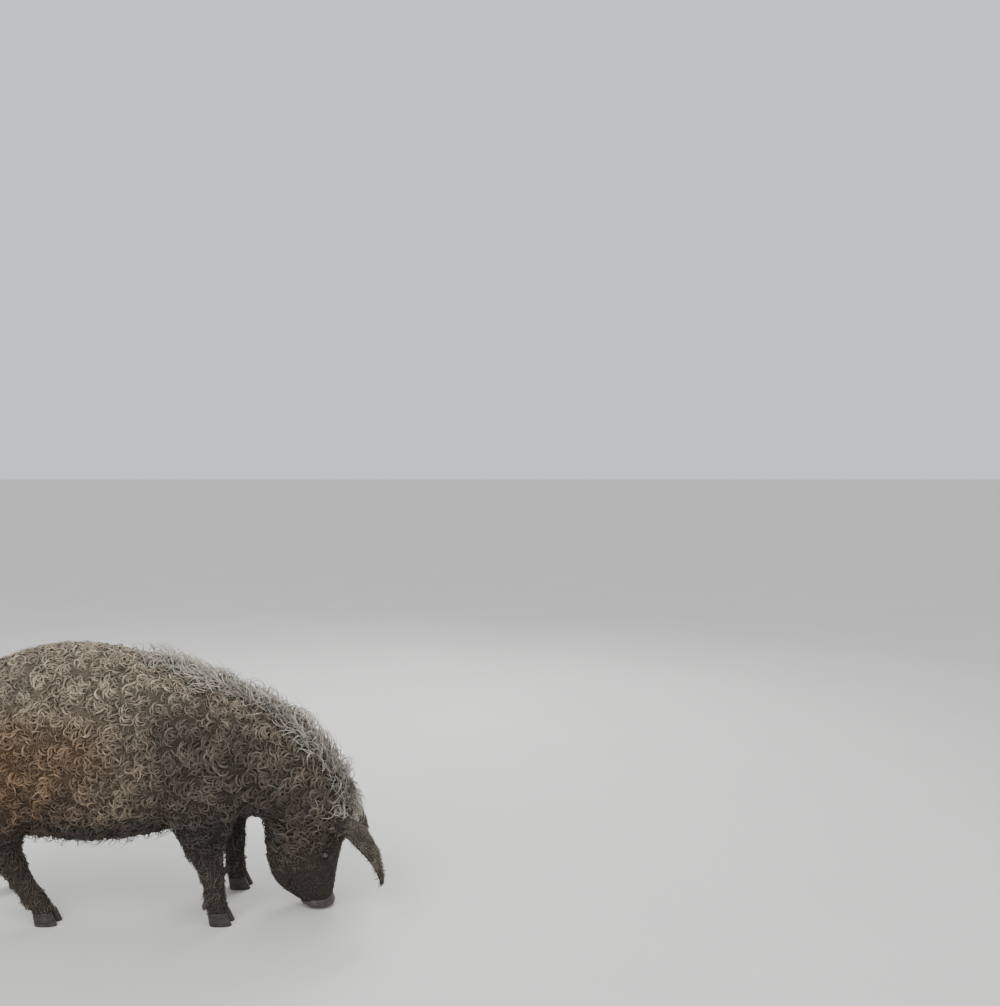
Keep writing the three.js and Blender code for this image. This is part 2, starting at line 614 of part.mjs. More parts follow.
// The snout disc: from the head's last section out to a round rim, with two nostrils in its face
function snoutSolid() {
  const centre = new THREE.Vector3(...SNOUT.centre);
  const face = new THREE.Vector3(...SNOUT.face).normalize();
  const fore = new THREE.Vector3(-face.z, 0, face.x);
  const { point, normal } = planeAt(SNOUT_STATION);
  const onCut = (a) => bodyPoint(SNOUT_STATION, a, 0);
  const headEnd = onCut(BACK).add(onCut(-BACK)).multiplyScalar(0.5);
  const rings = SNOUT_RINGS.map(([share, swell]) =>
    ringAngles(SNOUT.sides).map((a) => {
      const onHead = onCut(a);
      onHead.addScaledVector(normal, GAP - onHead.clone().sub(point).dot(normal));
      const onFace = centre
        .clone()
        .addScaledVector(fore, SNOUT.halfDepth * Math.sin(a))
        .add(new THREE.Vector3(0, SNOUT.halfWidth * Math.cos(a), 0));
      const inner = headEnd.clone().lerp(centre, share);
      const spot = onHead.lerp(onFace, share);
      return share > 0 ? spot.sub(inner).multiplyScalar(swell).add(inner) : spot;
    }),
  );
  let disc = solidFromRings(rings);
  const { apart, forward, radius, depth, outside } = NOSTRIL;
  for (const side of [-1, 1]) {
    const mouth = centre.clone().addScaledVector(fore, forward).setY(side * apart);
    const path = [outside, (outside - depth) / 2, -depth].map((along) =>
      mouth.clone().addScaledVector(face, along).toArray(),
    );
    disc = disc.subtract(tubeSolid(path, [radius + 2, radius, radius * 0.6], 4, 8));
  }
  return disc.subtract(beyond(new THREE.Vector3(), new THREE.Vector3(0, 0, -1)));
}

function clawSolid(x, y) {
  const outline = (z) => {
    const share = z / CLAW_HEIGHT;
    const grow = 1 - (1 - CLAW.topShrink) * share;
    return ringAngles(CLAW.sides).map((a) => {
      const toe = Math.max(Math.cos(a), 0);
      return new THREE.Vector3(
        x + CLAW.slope * (1 - share) + CLAW.halfLength * grow * power(Math.cos(a), 0.85),
        y + CLAW.halfWidth * (0.94 + 0.06 * share) * power(Math.sin(a), 0.7) * (1 - 0.18 * toe),
        z,
      );
    });
  };
  return solidFromRings(CLAW_LEVELS.map(outline));
}

function dewclawSolid(x, y, side) {
  const path = DEWCLAW.map(([behind, apart, height]) => [x - behind, y + side * apart, height]);
  return tubeSolid(path, column(DEWCLAW, (s) => s[3]), DEWCLAW.length, 5);
}

const MATERIALS = {
  wool: new THREE.MeshStandardMaterial({ color: 0x8a7a66, roughness: 0.95, metalness: 0 }),
  skin: new THREE.MeshStandardMaterial({ color: 0x4c4038, roughness: 0.85, metalness: 0 }),
  claw: new THREE.MeshStandardMaterial({ color: 0x2b2622, roughness: 0.7, metalness: 0 }),
  eye: new THREE.MeshStandardMaterial({ color: 0x1c120c, roughness: 0.15, metalness: 0 }),
};

const pig = new THREE.Group();
pig.position.set(-ORIGIN_X, 0, 0);

// A node keeps the one largest closed surface of its solid
function addNode(name, solid, material) {
  const body = solid
    .decompose()
    .reduce((best, piece) => (piece.volume() > best.volume() ? piece : best));
  const mesh = body.getMesh();
  const geometry = new THREE.BufferGeometry();
  geometry.setAttribute("position", new THREE.BufferAttribute(mesh.vertProperties, 3));
  geometry.setIndex(new THREE.BufferAttribute(mesh.triVerts, 1));
  geometry.computeVertexNormals();
  const node = new THREE.Mesh(geometry, MATERIALS[material]);
  node.name = name;
  pig.add(node);
}

// The whole animal of one piece, before it is parted
const core = (t) => coatAt(t) * CORE_SHARE;
const dewclaws = Object.values(LEGS).flatMap(({ line }) => {
  const [x, y] = line[line.length - 1];
  return [-1, 1].map((side) => dewclawSolid(x, y, side));
});
const whole = Manifold.union([
  surfaceLoft(bodyPoint, 0, 13, 18, 16, core),
  surfaceLoft(bodyPoint, 12.4, END, 14, 16, core),
  ...bodyClumps,
  ...crestLocks(),
  ...forelock(),
  ...Object.values(LEGS).flatMap(legSolids),
  ...dewclaws,
]);
const neckCut = planeAt(NECK_STATION);
const headCut = planeAt(HEAD_STATION);
const snoutCut = planeAt(SNOUT_STATION);
const allSockets = Manifold.union(Object.values(LEGS).map(({ line }) => socketSolid(line, 2 * GAP)));
const trunkAndNeck = whole.subtract(allSockets);

addNode("torso", trunkAndNeck.subtract(shifted(neckCut, 0)).subtract(tailCore(2 * GAP)), "wool");
const earRooms = Manifold.union(Object.values(EARS).map((ear) => earSolid(ear, 2 * GAP)));
const neck = trunkAndNeck.intersect(shifted(neckCut, GAP)).subtract(shifted(headCut, 0));
addNode("neck", neck.subtract(earRooms), "wool");

let head = whole.intersect(shifted(headCut, GAP));
for (const side of [-1, 1]) {
  const folds = [
    lidSolid(side, 1),
    lidSolid(side, -1),
    mouthTube(side, LIP_APART, 1, LIP_RADIUS),
    mouthTube(side, -LIP_APART, 1, LIP_RADIUS),
  ];
  head = Manifold.union([head, ...folds])
    .subtract(mouthTube(side, 0, 0, LIP_RADIUS * 0.7))
    .subtract(eyeSolid(side, EYE_RADIUS + GAP));
}
addNode("head", head.subtract(shifted(snoutCut, 0)).subtract(earRooms), "wool");
addNode("snout_disc", snoutSolid(), "skin");
for (const [name, side] of [["eye_right", -1], ["eye_left", 1]])
  addNode(name, eyeSolid(side, EYE_RADIUS), "eye");
for (const [name, ear] of Object.entries(EARS)) addNode(name, earSolid(ear, 0), "wool");
addNode("tail", tailSolid(), "wool");

for (const [name, { line, joint }] of Object.entries(LEGS)) {
  const leg = whole.intersect(socketSolid(line, 0));
  const knee = { point: new THREE.Vector3(0, 0, joint), normal: new THREE.Vector3(0, 0, -1) };
  addNode(`${name}_upper_leg`, leg.subtract(shifted(knee, 0)), "wool");
  addNode(`${name}_lower_leg`, leg.intersect(shifted(knee, GAP)), "skin");
  const [x, y] = line[line.length - 1];
  for (const [part, side] of [["outer", Math.sign(y)], ["inner", -Math.sign(y)]])
    addNode(`${name}_claw_${part}`, clawSolid(x, y + side * CLAW.apart), "claw");
}

export default pig;
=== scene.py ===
"""A mangalica pig at life size: one skin, a coat of curled tufts over it, and a crest of longer locks.

Metres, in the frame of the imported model: +X the way the pig faces, +Y to its left, +Z up.
"""
import json
import math

import bmesh
import bpy
import numpy as np
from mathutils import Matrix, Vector, kdtree

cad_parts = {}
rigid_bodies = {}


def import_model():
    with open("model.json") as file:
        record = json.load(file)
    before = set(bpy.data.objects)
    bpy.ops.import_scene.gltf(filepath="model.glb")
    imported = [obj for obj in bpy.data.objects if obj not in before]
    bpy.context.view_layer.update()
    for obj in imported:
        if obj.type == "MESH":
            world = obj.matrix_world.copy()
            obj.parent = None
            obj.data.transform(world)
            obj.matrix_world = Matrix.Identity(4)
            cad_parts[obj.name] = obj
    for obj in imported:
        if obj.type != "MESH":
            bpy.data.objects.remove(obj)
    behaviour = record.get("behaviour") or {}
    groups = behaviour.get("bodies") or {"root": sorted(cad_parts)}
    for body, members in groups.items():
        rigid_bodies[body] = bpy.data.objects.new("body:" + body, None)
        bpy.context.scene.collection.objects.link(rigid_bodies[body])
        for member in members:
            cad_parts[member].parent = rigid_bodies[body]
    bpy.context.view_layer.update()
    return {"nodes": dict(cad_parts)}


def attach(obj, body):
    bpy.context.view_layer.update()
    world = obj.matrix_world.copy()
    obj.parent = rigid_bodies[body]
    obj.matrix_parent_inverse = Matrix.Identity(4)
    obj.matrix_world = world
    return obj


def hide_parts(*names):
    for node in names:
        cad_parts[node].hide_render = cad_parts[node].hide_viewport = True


for leftover in list(bpy.data.objects):
    bpy.data.objects.remove(leftover)
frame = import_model()

MM = 0.001
ORIGIN_X = 33  # the tables below count from the shoulder; the frame's origin lies this far ahead
TWO_PI = 2 * math.pi

# Sections of trunk, neck and head, rump first: back or forehead point x, z; belly or jaw point x, z;
# half width; squareness; pear; coat depth.
BODY = np.array([
    (-618, 566, -624, 500, 42, 2.0, 0.0, 22),
    (-596, 640, -608, 400, 108, 2.1, 0.05, 24),
    (-545, 700, -560, 332, 154, 2.15, 0.06, 27),
    (-470, 741, -480, 285, 182, 2.15, 0.08, 28),
    (-370, 779, -375, 254, 199, 2.2, 0.1, 28),
    (-250, 806, -245, 238, 210, 2.25, 0.12, 28),
    (-110, 801, -105, 232, 218, 2.3, 0.13, 28),
    (30, 768, 20, 246, 217, 2.3, 0.13, 28),
    (165, 721, 140, 272, 206, 2.25, 0.12, 28),
    (290, 670, 250, 292, 190, 2.2, 0.12, 29),
    (398, 617, 320, 301, 173, 2.15, 0.1, 30),
    (492, 550, 362, 298, 156, 2.15, 0.06, 30),
    (573, 462, 384, 280, 139, 2.15, 0.0, 28),
    (634, 376, 389, 246, 128, 2.2, -0.04, 22),
    (654, 300, 389, 205, 118, 2.25, -0.08, 16),
    (639, 246, 391, 162, 107, 2.3, -0.1, 12),
    (617, 195, 399, 114, 92, 2.35, -0.12, 8),
    (604, 140, 420, 74, 71, 2.4, -0.1, 5),
    (596, 95, 451, 47, 56, 2.4, -0.06, 4),
    (590, 55, 482, 31, 47, 2.4, 0.0, 2),
    (582, 14, 506, 26, 42, 2.2, 0.0, 0),
], float)
TRUNK_END, NECK_END = 9.45, 12.9

# Sections down each leg: centre x, y, z, half depth fore and aft, half width
FORE_LEG = [
    (225, -118, 505, 122, 66), (230, -142, 425, 122, 72), (232, -152, 345, 106, 66),
    (234, -149, 282, 80, 56), (238, -141, 226, 55, 45), (247, -134, 182, 40, 36),
    (252, -130, 150, 37, 34), (256, -127, 112, 30, 27), (258, -126, 80, 31, 30),
    (263, -125, 56, 30, 30), (268, -125, 36, 31, 32),
]
HIND_LEG_FORWARD = [
    (-395, -112, 560, 138, 66), (-400, -138, 480, 148, 78), (-398, -154, 400, 138, 76),
    (-381, -159, 332, 110, 62), (-368, -153, 272, 78, 51), (-354, -143, 216, 51, 38),
    (-341, -137, 188, 43, 34), (-320, -131, 146, 32, 29), (-300, -127, 106, 29, 27),
    (-282, -126, 79, 31, 29), (-263, -125, 57, 30, 30), (-248, -125, 36, 31, 32),
]
HIND_LEG_BACK = [
    (-395, -112, 560, 138, 66), (-404, -138, 480, 148, 78), (-410, -154, 400, 138, 76),
    (-412, -159, 336, 112, 62), (-434, -153, 284, 78, 51), (-474, -143, 240, 51, 38),
    (-488, -137, 212, 44, 34), (-486, -132, 158, 32, 29), (-476, -129, 112, 29, 27),
    (-466, -128, 82, 31, 29), (-456, -127, 58, 30, 30), (-448, -127, 36, 31, 32),
]
FORE_STRIDE = -8  # the left fore foot stands this far behind the right one
LEVEL_HALF_DEPTH = (55, 100)  # a leg's sections turn from square to its line to level between these
# How deep the hair is: at the top of a leg, at the least on a leg, and on tail and ears
LEG_COAT, SHORT_COAT, TAIL_COAT, EAR_COAT = 18, 7, 10, 7.5

# An ear: sizes along it from root to tip, and how high its edge ripples
EAR_RINGS, EAR_SIDES = 44, 17
EAR_RIPPLE = 1.6
EAR_HALF_WIDTH = (38, 56, 60, 55, 42, 24, 9)
EAR_CURL = (1.5, 1.15, 0.85, 0.7, 0.6, 0.5, 0.35)
EAR_THICKNESS = (8, 7, 6, 5.5, 5, 4.5, 4)
EARS = {  # a path along each ear's middle, and the way it opens
    "right": (
        [(612, -78, 318), (648, -98, 306), (696, -116, 272), (734, -130, 222), (754, -140, 168),
         (758, -147, 126)],
        (-0.72, 0.1, -0.69),
    ),
    "left": (
        [(617, 84, 330), (638, 98, 302), (658, 112, 262), (674, 121, 212), (674, 126, 160),
         (664, 126, 122)],
        (-0.8, -0.15, -0.58),
    ),
}
TAIL_PATH = [(-565, 0, 616), (-622, 0, 624), (-664, -4, 592), (-680, -10, 530), (-678, -16, 460),
             (-668, -20, 392), (-660, -24, 336)]
TAIL_RADIUS = (24, 22, 18, 14.5, 12, 11, 6)
EYE_STATION, EYE_ANGLE, EYE_SINK, EYE_RADIUS = 15.75, 0.62, 6, 13
MOUTH = [(19.3, -0.5), (18.4, -0.64), (17.4, -0.54), (16.6, -0.3)]  # station and angle, from the snout back
BACK = math.pi / 2  # the angle of the spine; the left flank is at 0 and the belly at -BACK
NEAR = 0.05  # the step of station or angle that finds a direction on a surface


def smooth(rows, t):
    """Reads a table at fractional places, on curves through its rows."""
    rows = np.asarray(rows, float)
    t = np.clip(np.asarray(t, float), 0, len(rows) - 1)
    i = np.minimum(t.astype(int), len(rows) - 2)
    f = t - i
    if rows.ndim > 1:
        f = f[..., None]
    a, b, c, d = (rows[np.clip(i + k, 0, len(rows) - 1)] for k in (-1, 0, 1, 2))
    return b + 0.5 * f * (c - a + f * (2 * a - 5 * b + 4 * c - d + f * (3 * (b - c) + d - a)))


def unit(v):
    return v / np.maximum(np.linalg.norm(v, axis=-1, keepdims=True), 1e-9)


def signed_power(v, e):
    return np.sign(v) * np.abs(v) ** e


def bump_at(x, middle, width):
    return np.exp(-(((x - middle) / width) ** 2))


def step_up(x, low, high):
    f = np.clip((x - low) / (high - low), 0, 1)
    return f * f * (3 - 2 * f)


def body_point(t, angle, lift=0.0):
    """Points of the body's surface, lift millimetres outside the skin."""
    row = smooth(BODY, t)
    top = np.stack([row[..., 0], 0 * row[..., 0], row[..., 1]], -1)
    low = np.stack([row[..., 2], 0 * row[..., 0], row[..., 3]], -1)
    height = np.linalg.norm(top - low, axis=-1)
    up = (top - low) / height[..., None]
    e = 2 / row[..., 5]
    s = signed_power(np.sin(angle), e)
    side = (row[..., 4] * (1 - row[..., 6] * s) + lift) * signed_power(np.cos(angle), e)
    points = (top + low) / 2 + up * ((height / 2 + lift) * s)[..., None]
    points[..., 1] = side
    points[..., 0] -= ORIGIN_X
    return points * MM


def leg_point(leg, t, angle, lift=0.0):
    """Points of a leg's surface, t counting its sections downwards."""
    row, ahead = smooth(leg, t), 0.3
    line = smooth(leg, t + ahead)[..., :3] - smooth(leg, t - ahead)[..., :3]
    line[..., 1] = 0
    line = unit(line)
    foot = step_up(t, len(leg) - 3, len(leg) - 1.5)
    level = np.maximum(step_up(row[..., 3], *LEVEL_HALF_DEPTH), foot)[..., None]
    line = unit(line * (1 - level) + np.array([0, 0, -1.0]) * level)
    fore = np.stack([-line[..., 2], 0 * line[..., 1], line[..., 0]], -1)
    points = row[..., :3] + fore * ((row[..., 3] + lift) * np.cos(angle))[..., None]
    points[..., 1] += (row[..., 4] + lift) * np.sin(angle)
    points[..., 0] -= ORIGIN_X
    return points * MM


def swept(path, t):
    """Places and directions along a path of points, t from 0 to 1."""
    last = len(path) - 1
    u, ahead = t * last, 0.01 * last
    places = smooth(path, u)
    along = unit(smooth(path, u + ahead) - smooth(path, u - ahead))
    places[..., 0] -= ORIGIN_X
    return places * MM, along


def tube(path, t, angle, radius):
    """Points of a round tube along a path, its radius in metres."""
    centre, along = swept(path, t)
    across = unit(np.array([0, 1.0, 0]) - along * along[..., 1:2])
    around = across * np.cos(angle)[..., None] + np.cross(along, across) * np.sin(angle)[..., None]
    return centre + around * radius[..., None]


def tail_point(t, angle, lift=0.0):
    radius = (smooth(TAIL_RADIUS, t * (len(TAIL_RADIUS) - 1)) + lift) * MM
    return tube(TAIL_PATH, t, angle, radius)


def mirrored(leg):
    """The same leg on the other side."""
    return [(x, -y, z, rx, ry) for x, y, z, rx, ry in leg]


def strode(leg, step):
    """The leg with its foot moved ahead by a step."""
    return [(x + step * i / (len(leg) - 1), y, z, rx, ry) for i, (x, y, z, rx, ry) in enumerate(leg)]


LEGS = {
    "fore_right": FORE_LEG,
    "fore_left": mirrored(strode(FORE_LEG, FORE_STRIDE)),
    "hind_right": HIND_LEG_FORWARD,
    "hind_left": mirrored(HIND_LEG_BACK),
}


def grid(rings, sides, start, end):
    """Two arrays that name each point of a lofted surface by its place along and its angle."""
    t = np.linspace(start, end, rings)
    angle = np.linspace(0, TWO_PI, sides, endpoint=False)
    return np.meshgrid(t, angle, indexing="ij")


def grid_faces(rings, sides, capped=True):
    """Quads of a lofted surface, with a face over each end."""
    faces = []
    for a in range(0, (rings - 1) * sides, sides):
        for i in range(sides):
            j = (i + 1) % sides
            faces.append((a + i, a + j, a + sides + j, a + sides + i))
    if capped:
        last = (rings - 1) * sides
        faces += [[*reversed(range(sides))], [*range(last, last + sides)]]
    return faces


def new_object(name, points, faces):
    """A smooth-shaded object in the scene, its faces turned outwards."""
    mesh = bpy.data.meshes.new(name)
    mesh.from_pydata([tuple(p) for p in np.asarray(points).reshape(-1, 3)], [], faces)
    mesh.validate()
    shape = bmesh.new()
    shape.from_mesh(mesh)
    bmesh.ops.recalc_face_normals(shape, faces=shape.faces)
    shape.to_mesh(mesh)
    shape.free()
    piece = bpy.data.objects.new(name, mesh)
    bpy.context.scene.collection.objects.link(piece)
    for face in mesh.polygons:
        face.use_smooth = True
    return piece


def applied(piece):
    """Turns a piece's live modifiers into plain mesh."""
    graph = bpy.context.evaluated_depsgraph_get()
    mesh = bpy.data.meshes.new_from_object(piece.evaluated_get(graph))
    piece.modifiers.clear()
    piece.data = mesh
    return piece


# The skin: lofts of body, legs and tail, joined and evened out as one surface, then sculpted
SKIN_VOXEL = 0.0072
SKIN_SMOOTHING = 6
SHAPES = {  # each loft's surface, its last section, its rings and its sides
    "body": (body_point, len(BODY) - 1, 220, 96),
    "tail": (tail_point, 1, 60, 20),
    **{
        name: (lambda t, a, lift=0.0, leg=leg: leg_point(leg, t, a, lift), len(leg) - 1, 70, 32)
        for name, leg in LEGS.items()
    },
}


def joined(name, parts):
    """One object from several (points, faces) pairs."""
    points, faces, count = [], [], 0
    for place, quads in parts:
        points.append(np.asarray(place).reshape(-1, 3))
        faces += [[count + i for i in face] for face in quads]
        count += len(points[-1])
    return new_object(name, np.concatenate(points), faces)


def ear_grid(side):
    """An ear as a curled leaf: rings run out along its back and return along its hollow."""
    path, opened = EARS[side]
    t = np.linspace(0, 1, EAR_RINGS)
    centre, along = swept(path, t)
    cup = unit(np.array(opened) - along * (along @ np.array(opened))[:, None])
    across = np.cross(along, cup)
    u = t * (len(EAR_HALF_WIDTH) - 1)
    curl, half, thick = (smooth(row, u) for row in (EAR_CURL, EAR_HALF_WIDTH, EAR_THICKNESS))
    radius = half / curl
    turns = np.linspace(-1, 1, EAR_SIDES)
    rim = np.sqrt(np.maximum(1 - turns**2, 0)) ** 0.5

    def face(turns, rim, sign):
        angle = curl[:, None] * turns
        reach = radius[:, None] + sign * thick[:, None] / 2 * rim
        ripple = EAR_RIPPLE * np.sin(9 * t[:, None] + 2.5 * turns) * np.abs(turns)
        out = across[:, None] * (reach * np.sin(angle))[..., None]
        rise = cup[:, None] * (radius[:, None] + ripple - reach * np.cos(angle))[..., None]
        return centre[:, None] + MM * (out + rise)

    outer, inner = face(turns, rim, 1), face(turns[::-1], rim[::-1], -1)
    return np.concatenate([outer, inner[:, 1:-1]], axis=1), along


def ear_part(side):
    """An ear's points and faces, with strips of quads over root and tip."""
    points, _ = ear_grid(side)
    rings, sides = points.shape[:2]
    faces = grid_faces(rings, sides, capped=False)
    for end in (0, (rings - 1) * sides):
        for i in range((sides - 2) // 2):
            a, b = end + i, end + i + 1
            c, d = end + (sides - 1 - i), end + (sides - i) % sides
            faces.append((a, b, c, d) if i else (a, b, c))
        half = (sides - 2) // 2
        faces.append((end + half, end + half + 1, end + half + 2))
    return points, faces


def make_skin():
    """The lofts joined by a voxel remesh and evened out."""
    parts = []
    for point_at, last, rings, sides in SHAPES.values():
        parts.append((point_at(*grid(rings, sides, 0, last)), grid_faces(rings, sides)))
    skin = joined("skin", parts)
    remesh = skin.modifiers.new("one_surface", "REMESH")
    remesh.mode = "VOXEL"
    remesh.voxel_size = SKIN_VOXEL
    even = skin.modifiers.new("even", "SMOOTH")
    even.factor = 0.5
    even.iterations = SKIN_SMOOTHING
    lofts = skin.data
    applied(skin)
    bpy.data.meshes.remove(lofts)
    return skin


def eye_frame(side):
    """An eye's middle, the way out of the head, the way to the snout and the way up the face."""
    t, a = np.array(EYE_STATION), np.array(EYE_ANGLE)
    place = body_point(t, a, -EYE_SINK)
    ahead = body_point(t + NEAR, a) - body_point(t - NEAR, a)
    round_head = body_point(t, a + NEAR) - body_point(t, a - NEAR)
    out = unit(np.cross(round_head, ahead))
    ahead = unit(ahead)
    flip = np.array([1, side, 1.0])
    out, ahead = out * flip, ahead * flip
    if out[1] * side < 0:
        out = -out
    rise = unit(np.cross(out, ahead)) * -side
    return place * flip, out, ahead, rise * (1 if rise @ np.array([1.0, 0, 0]) > 0 else -1)


def vertex_array(mesh, name="co"):
    """Each vertex's place, or its normal."""
    values = np.zeros(len(mesh.vertices) * 3, np.float32)
    mesh.vertices.foreach_get(name, values)
    return values.reshape(-1, 3).astype(float)


def refine(piece, wanted):
    """Splits the faces that wanted(centres) picks, for finer sculpting."""
    shape = bmesh.new()
    shape.from_mesh(piece.data)
    shape.faces.ensure_lookup_table()
    centres = np.array([face.calc_center_median() for face in shape.faces])
    picked = wanted(centres)
    edges = {edge for face, pick in zip(shape.faces, picked) if pick for edge in face.edges}
    bmesh.ops.subdivide_edges(shape, edges=list(edges), cuts=1, use_grid_fill=True, smooth=0.4)
    shape.to_mesh(piece.data)
    shape.free()


def distance_to_line(points, line):
    """How far each point is from a line through several places."""
    best = np.full(len(points), 1e9)
    for a, b in zip(line[:-1], line[1:]):
        along = b - a
        f = np.clip((points - a) @ along / (along @ along), 0, 1)
        best = np.minimum(best, np.linalg.norm(points - a - f[:, None] * along, axis=1))
    return best


def mouth_line(side):
    """The slit between the lips on one side of the head."""
    stations, angles = np.array(MOUTH).T
    t = np.linspace(0, len(MOUTH) - 1, 30)
    line = body_point(smooth(stations, t), smooth(angles, t))
    return line * np.array([1, side, 1.0])


# The face's relief in millimetres. Places beside an eye are shares of its opening.
LID_HALF_LENGTH, LID_HALF_HEIGHT, LID_MIDDLE, UPPER_LID_DROP = 14.5, 8, 1, 1.5
LID_SWELL, UPPER_LID_SWELL, SOCKET_DEPTH = 5.0, 2.5, 10.0
EYE_DEPTH = (-14, -4)  # how far in from the eye's middle its relief ends
LID_FOLDS = ((2.05, 0.2, 1.1), (2.7, 0.22, 0.8))  # place, width and depth of each fold around an eye
BROW_HALF_LENGTH, BROW_HALF_HEIGHT, BROW_RISE, BROW_SWELL = 26, 11, 24, 3.4
LIP_SWELL, LIP_PLACE, LIP_WIDTH = 3.2, 7.5, 3.6
MOUTH_DEPTH, MOUTH_WIDTH = 5.0, 2.8
WRINKLE_DEPTH, WRINKLE_PITCH = 1.1, 2.6
WRINKLE_X, WRINKLE_Z = (0.5, 0.56), (-0.15, -0.08)  # where they fade in; heights count downwards
FINE_HEAD_STATION, FINE_HEAD_TOP, FINE_EYE_REACH = 14.5, 0.26, 0.034  # where the mesh is finer


def sculpt_face(skin):
    """Presses eye sockets, lids, brows, lips and the muzzle's wrinkles into the skin."""
    eyes = {side: eye_frame(side) for side in (-1, 1)}
    head_back = body_point(np.array(FINE_HEAD_STATION), np.array(-BACK))[0]
    refine(skin, lambda c: (c[:, 0] > head_back) & (c[:, 2] < FINE_HEAD_TOP))
    refine(skin, lambda c: np.min(
        [np.linalg.norm(c - middle, axis=1) for middle, *_ in eyes.values()], axis=0) < FINE_EYE_REACH)
    mesh = skin.data
    points, normals = vertex_array(mesh), vertex_array(mesh, "normal")
    push = np.zeros(len(points))
    for side, (middle, out, ahead, rise) in eyes.items():
        local = (points - middle) / MM
        a, b, c = local @ ahead, local @ rise, local @ out
        near, upper = step_up(c, *EYE_DEPTH), b > LID_MIDDLE
        almond = np.sqrt((a / LID_HALF_LENGTH) ** 2
                         + ((b - LID_MIDDLE) / (LID_HALF_HEIGHT - UPPER_LID_DROP * upper)) ** 2)
        brow = np.hypot(a / BROW_HALF_LENGTH, (b - BROW_RISE) / BROW_HALF_HEIGHT)
        push += near * (LID_SWELL + UPPER_LID_SWELL * upper) * bump_at(almond, 1.24, 0.28)
        push -= near * SOCKET_DEPTH * (1 - step_up(almond, 0.72, 1.06))
        push += near * BROW_SWELL * bump_at(brow, 0, 1)
        for place, width, depth in LID_FOLDS:
            push -= near * depth * bump_at(almond, place, width)
        d = distance_to_line(points, mouth_line(side)) / MM
        push += LIP_SWELL * bump_at(d, LIP_PLACE, LIP_WIDTH) - MOUTH_DEPTH * bump_at(d, 0, MOUTH_WIDTH)
    muzzle = step_up(-points[:, 2], *WRINKLE_Z) * step_up(points[:, 0], *WRINKLE_X)
    push += muzzle * WRINKLE_DEPTH * np.sin(points[:, 2] / (WRINKLE_PITCH * MM))
    points += normals * (push * MM)[:, None]
    mesh.vertices.foreach_set("co", points.astype(np.float32).ravel())
    mesh.update()


# Lie, depth and cover of the hair at each place of the skin
BANDS = (0, 3.6, 6.4, TRUNK_END, NECK_END)
BAND_NAMES = ("rump", "flank", "shoulder", "neck")
FACE_START = 15.2  # the station where curls give way to short hair
SHIN_TOP = 0.25  # metres above the floor; below it the legs have short hair
LEG_DEPTH_SHARE = 1.2  # a leg's tufts are this much longer than its coat is deep
# Bare skin around an eye and along the lips, in millimetres
BARE_HALF_LENGTH, BARE_HALF_HEIGHT, BARE_SINK, BARE_LIP = 20, 14, 12, 4
# Stations between which a kind of hair begins or ends
MUZZLE_BARE, FORELOCK_BEGINS, NECK_LIES_BACK = (18.9, 19.5), (12.4, 13.6), (10, 13)
CREST_BEGINS, CREST_ENDS, FRINGE_BEGINS, FRINGE_ENDS = (6.6, 8.2), (14.2, 14.9), (3, 4), (10.5, 11.5)
TAIL_TUFT_BEGINS = (0.45, 0.75)  # as shares of the tail
CLAW_HAIR = (0.036, 0.046)  # metres above the floor, between which the hair ends over the claws
EAR_HOLLOW_LOSS = 0.75  # the share of an ear's tufts that its hollow lacks
EVENING_ROUNDS = 6


def from_spine(angle):
    """How far round the body a place is from the spine."""
    return np.abs(np.arctan2(np.cos(angle), np.sin(angle)))


def body_hair():
    """Hair that lies back and down, and on the forelock falls to both sides."""
    point_at, last, rings, sides = SHAPES["body"]
    t, a = grid(rings, sides, 0, last)
    lie = unit(point_at(t - NEAR, a) - point_at(t + NEAR, a))
    lie[..., 2] -= 0.45 * np.abs(np.cos(a)) * (1 - 0.6 * step_up(t, *NECK_LIES_BACK))
    forelock = (step_up(t, *FORELOCK_BEGINS) * (1 - step_up(from_spine(a), 0.7, 1.1)))[..., None]
    parted = np.stack([0 * t + 0.5, 0.8 * np.sign(np.cos(a)), 0 * t - 0.3], -1)
    lie = lie * (1 - forelock) + parted * forelock
    return point_at(t, a), lie, smooth(BODY[:, 7], t), t, a


def leg_hair(name):
    """Hair that lies down the leg and a little back."""
    point_at, last, rings, sides = SHAPES[name]
    t, a = grid(rings, sides, 0, last)
    lie = unit(point_at(t + NEAR, a) - point_at(t - NEAR, a))
    lie[..., 0] -= 0.3
    coat = LEG_COAT * np.maximum(0, 1 - t / (last - 3))
    return point_at(t, a), lie, np.maximum(coat * LEG_DEPTH_SHARE, SHORT_COAT), t, a


def tail_hair():
    point_at, last, rings, sides = SHAPES["tail"]
    t, a = grid(rings, sides, 0, last)
    points = point_at(t, a)
    lie = np.broadcast_to(swept(TAIL_PATH, t.ravel())[1].reshape(t.shape + (3,)), points.shape)
    return points, lie, 0 * t + TAIL_COAT, t, a


def ear_hair(side):
    """Hair that lies out along the ear; its angle says 1 in the hollow and 0 on the back."""
    points, along = ear_grid(side)
    t = np.broadcast_to(np.linspace(0, 1, points.shape[0])[:, None], points.shape[:2])
    hollow = np.broadcast_to(np.arange(points.shape[1]) >= EAR_SIDES, points.shape[:2])
    return points, np.broadcast_to(along[:, None], points.shape), 0 * t + EAR_COAT, t, hollow * 1.0


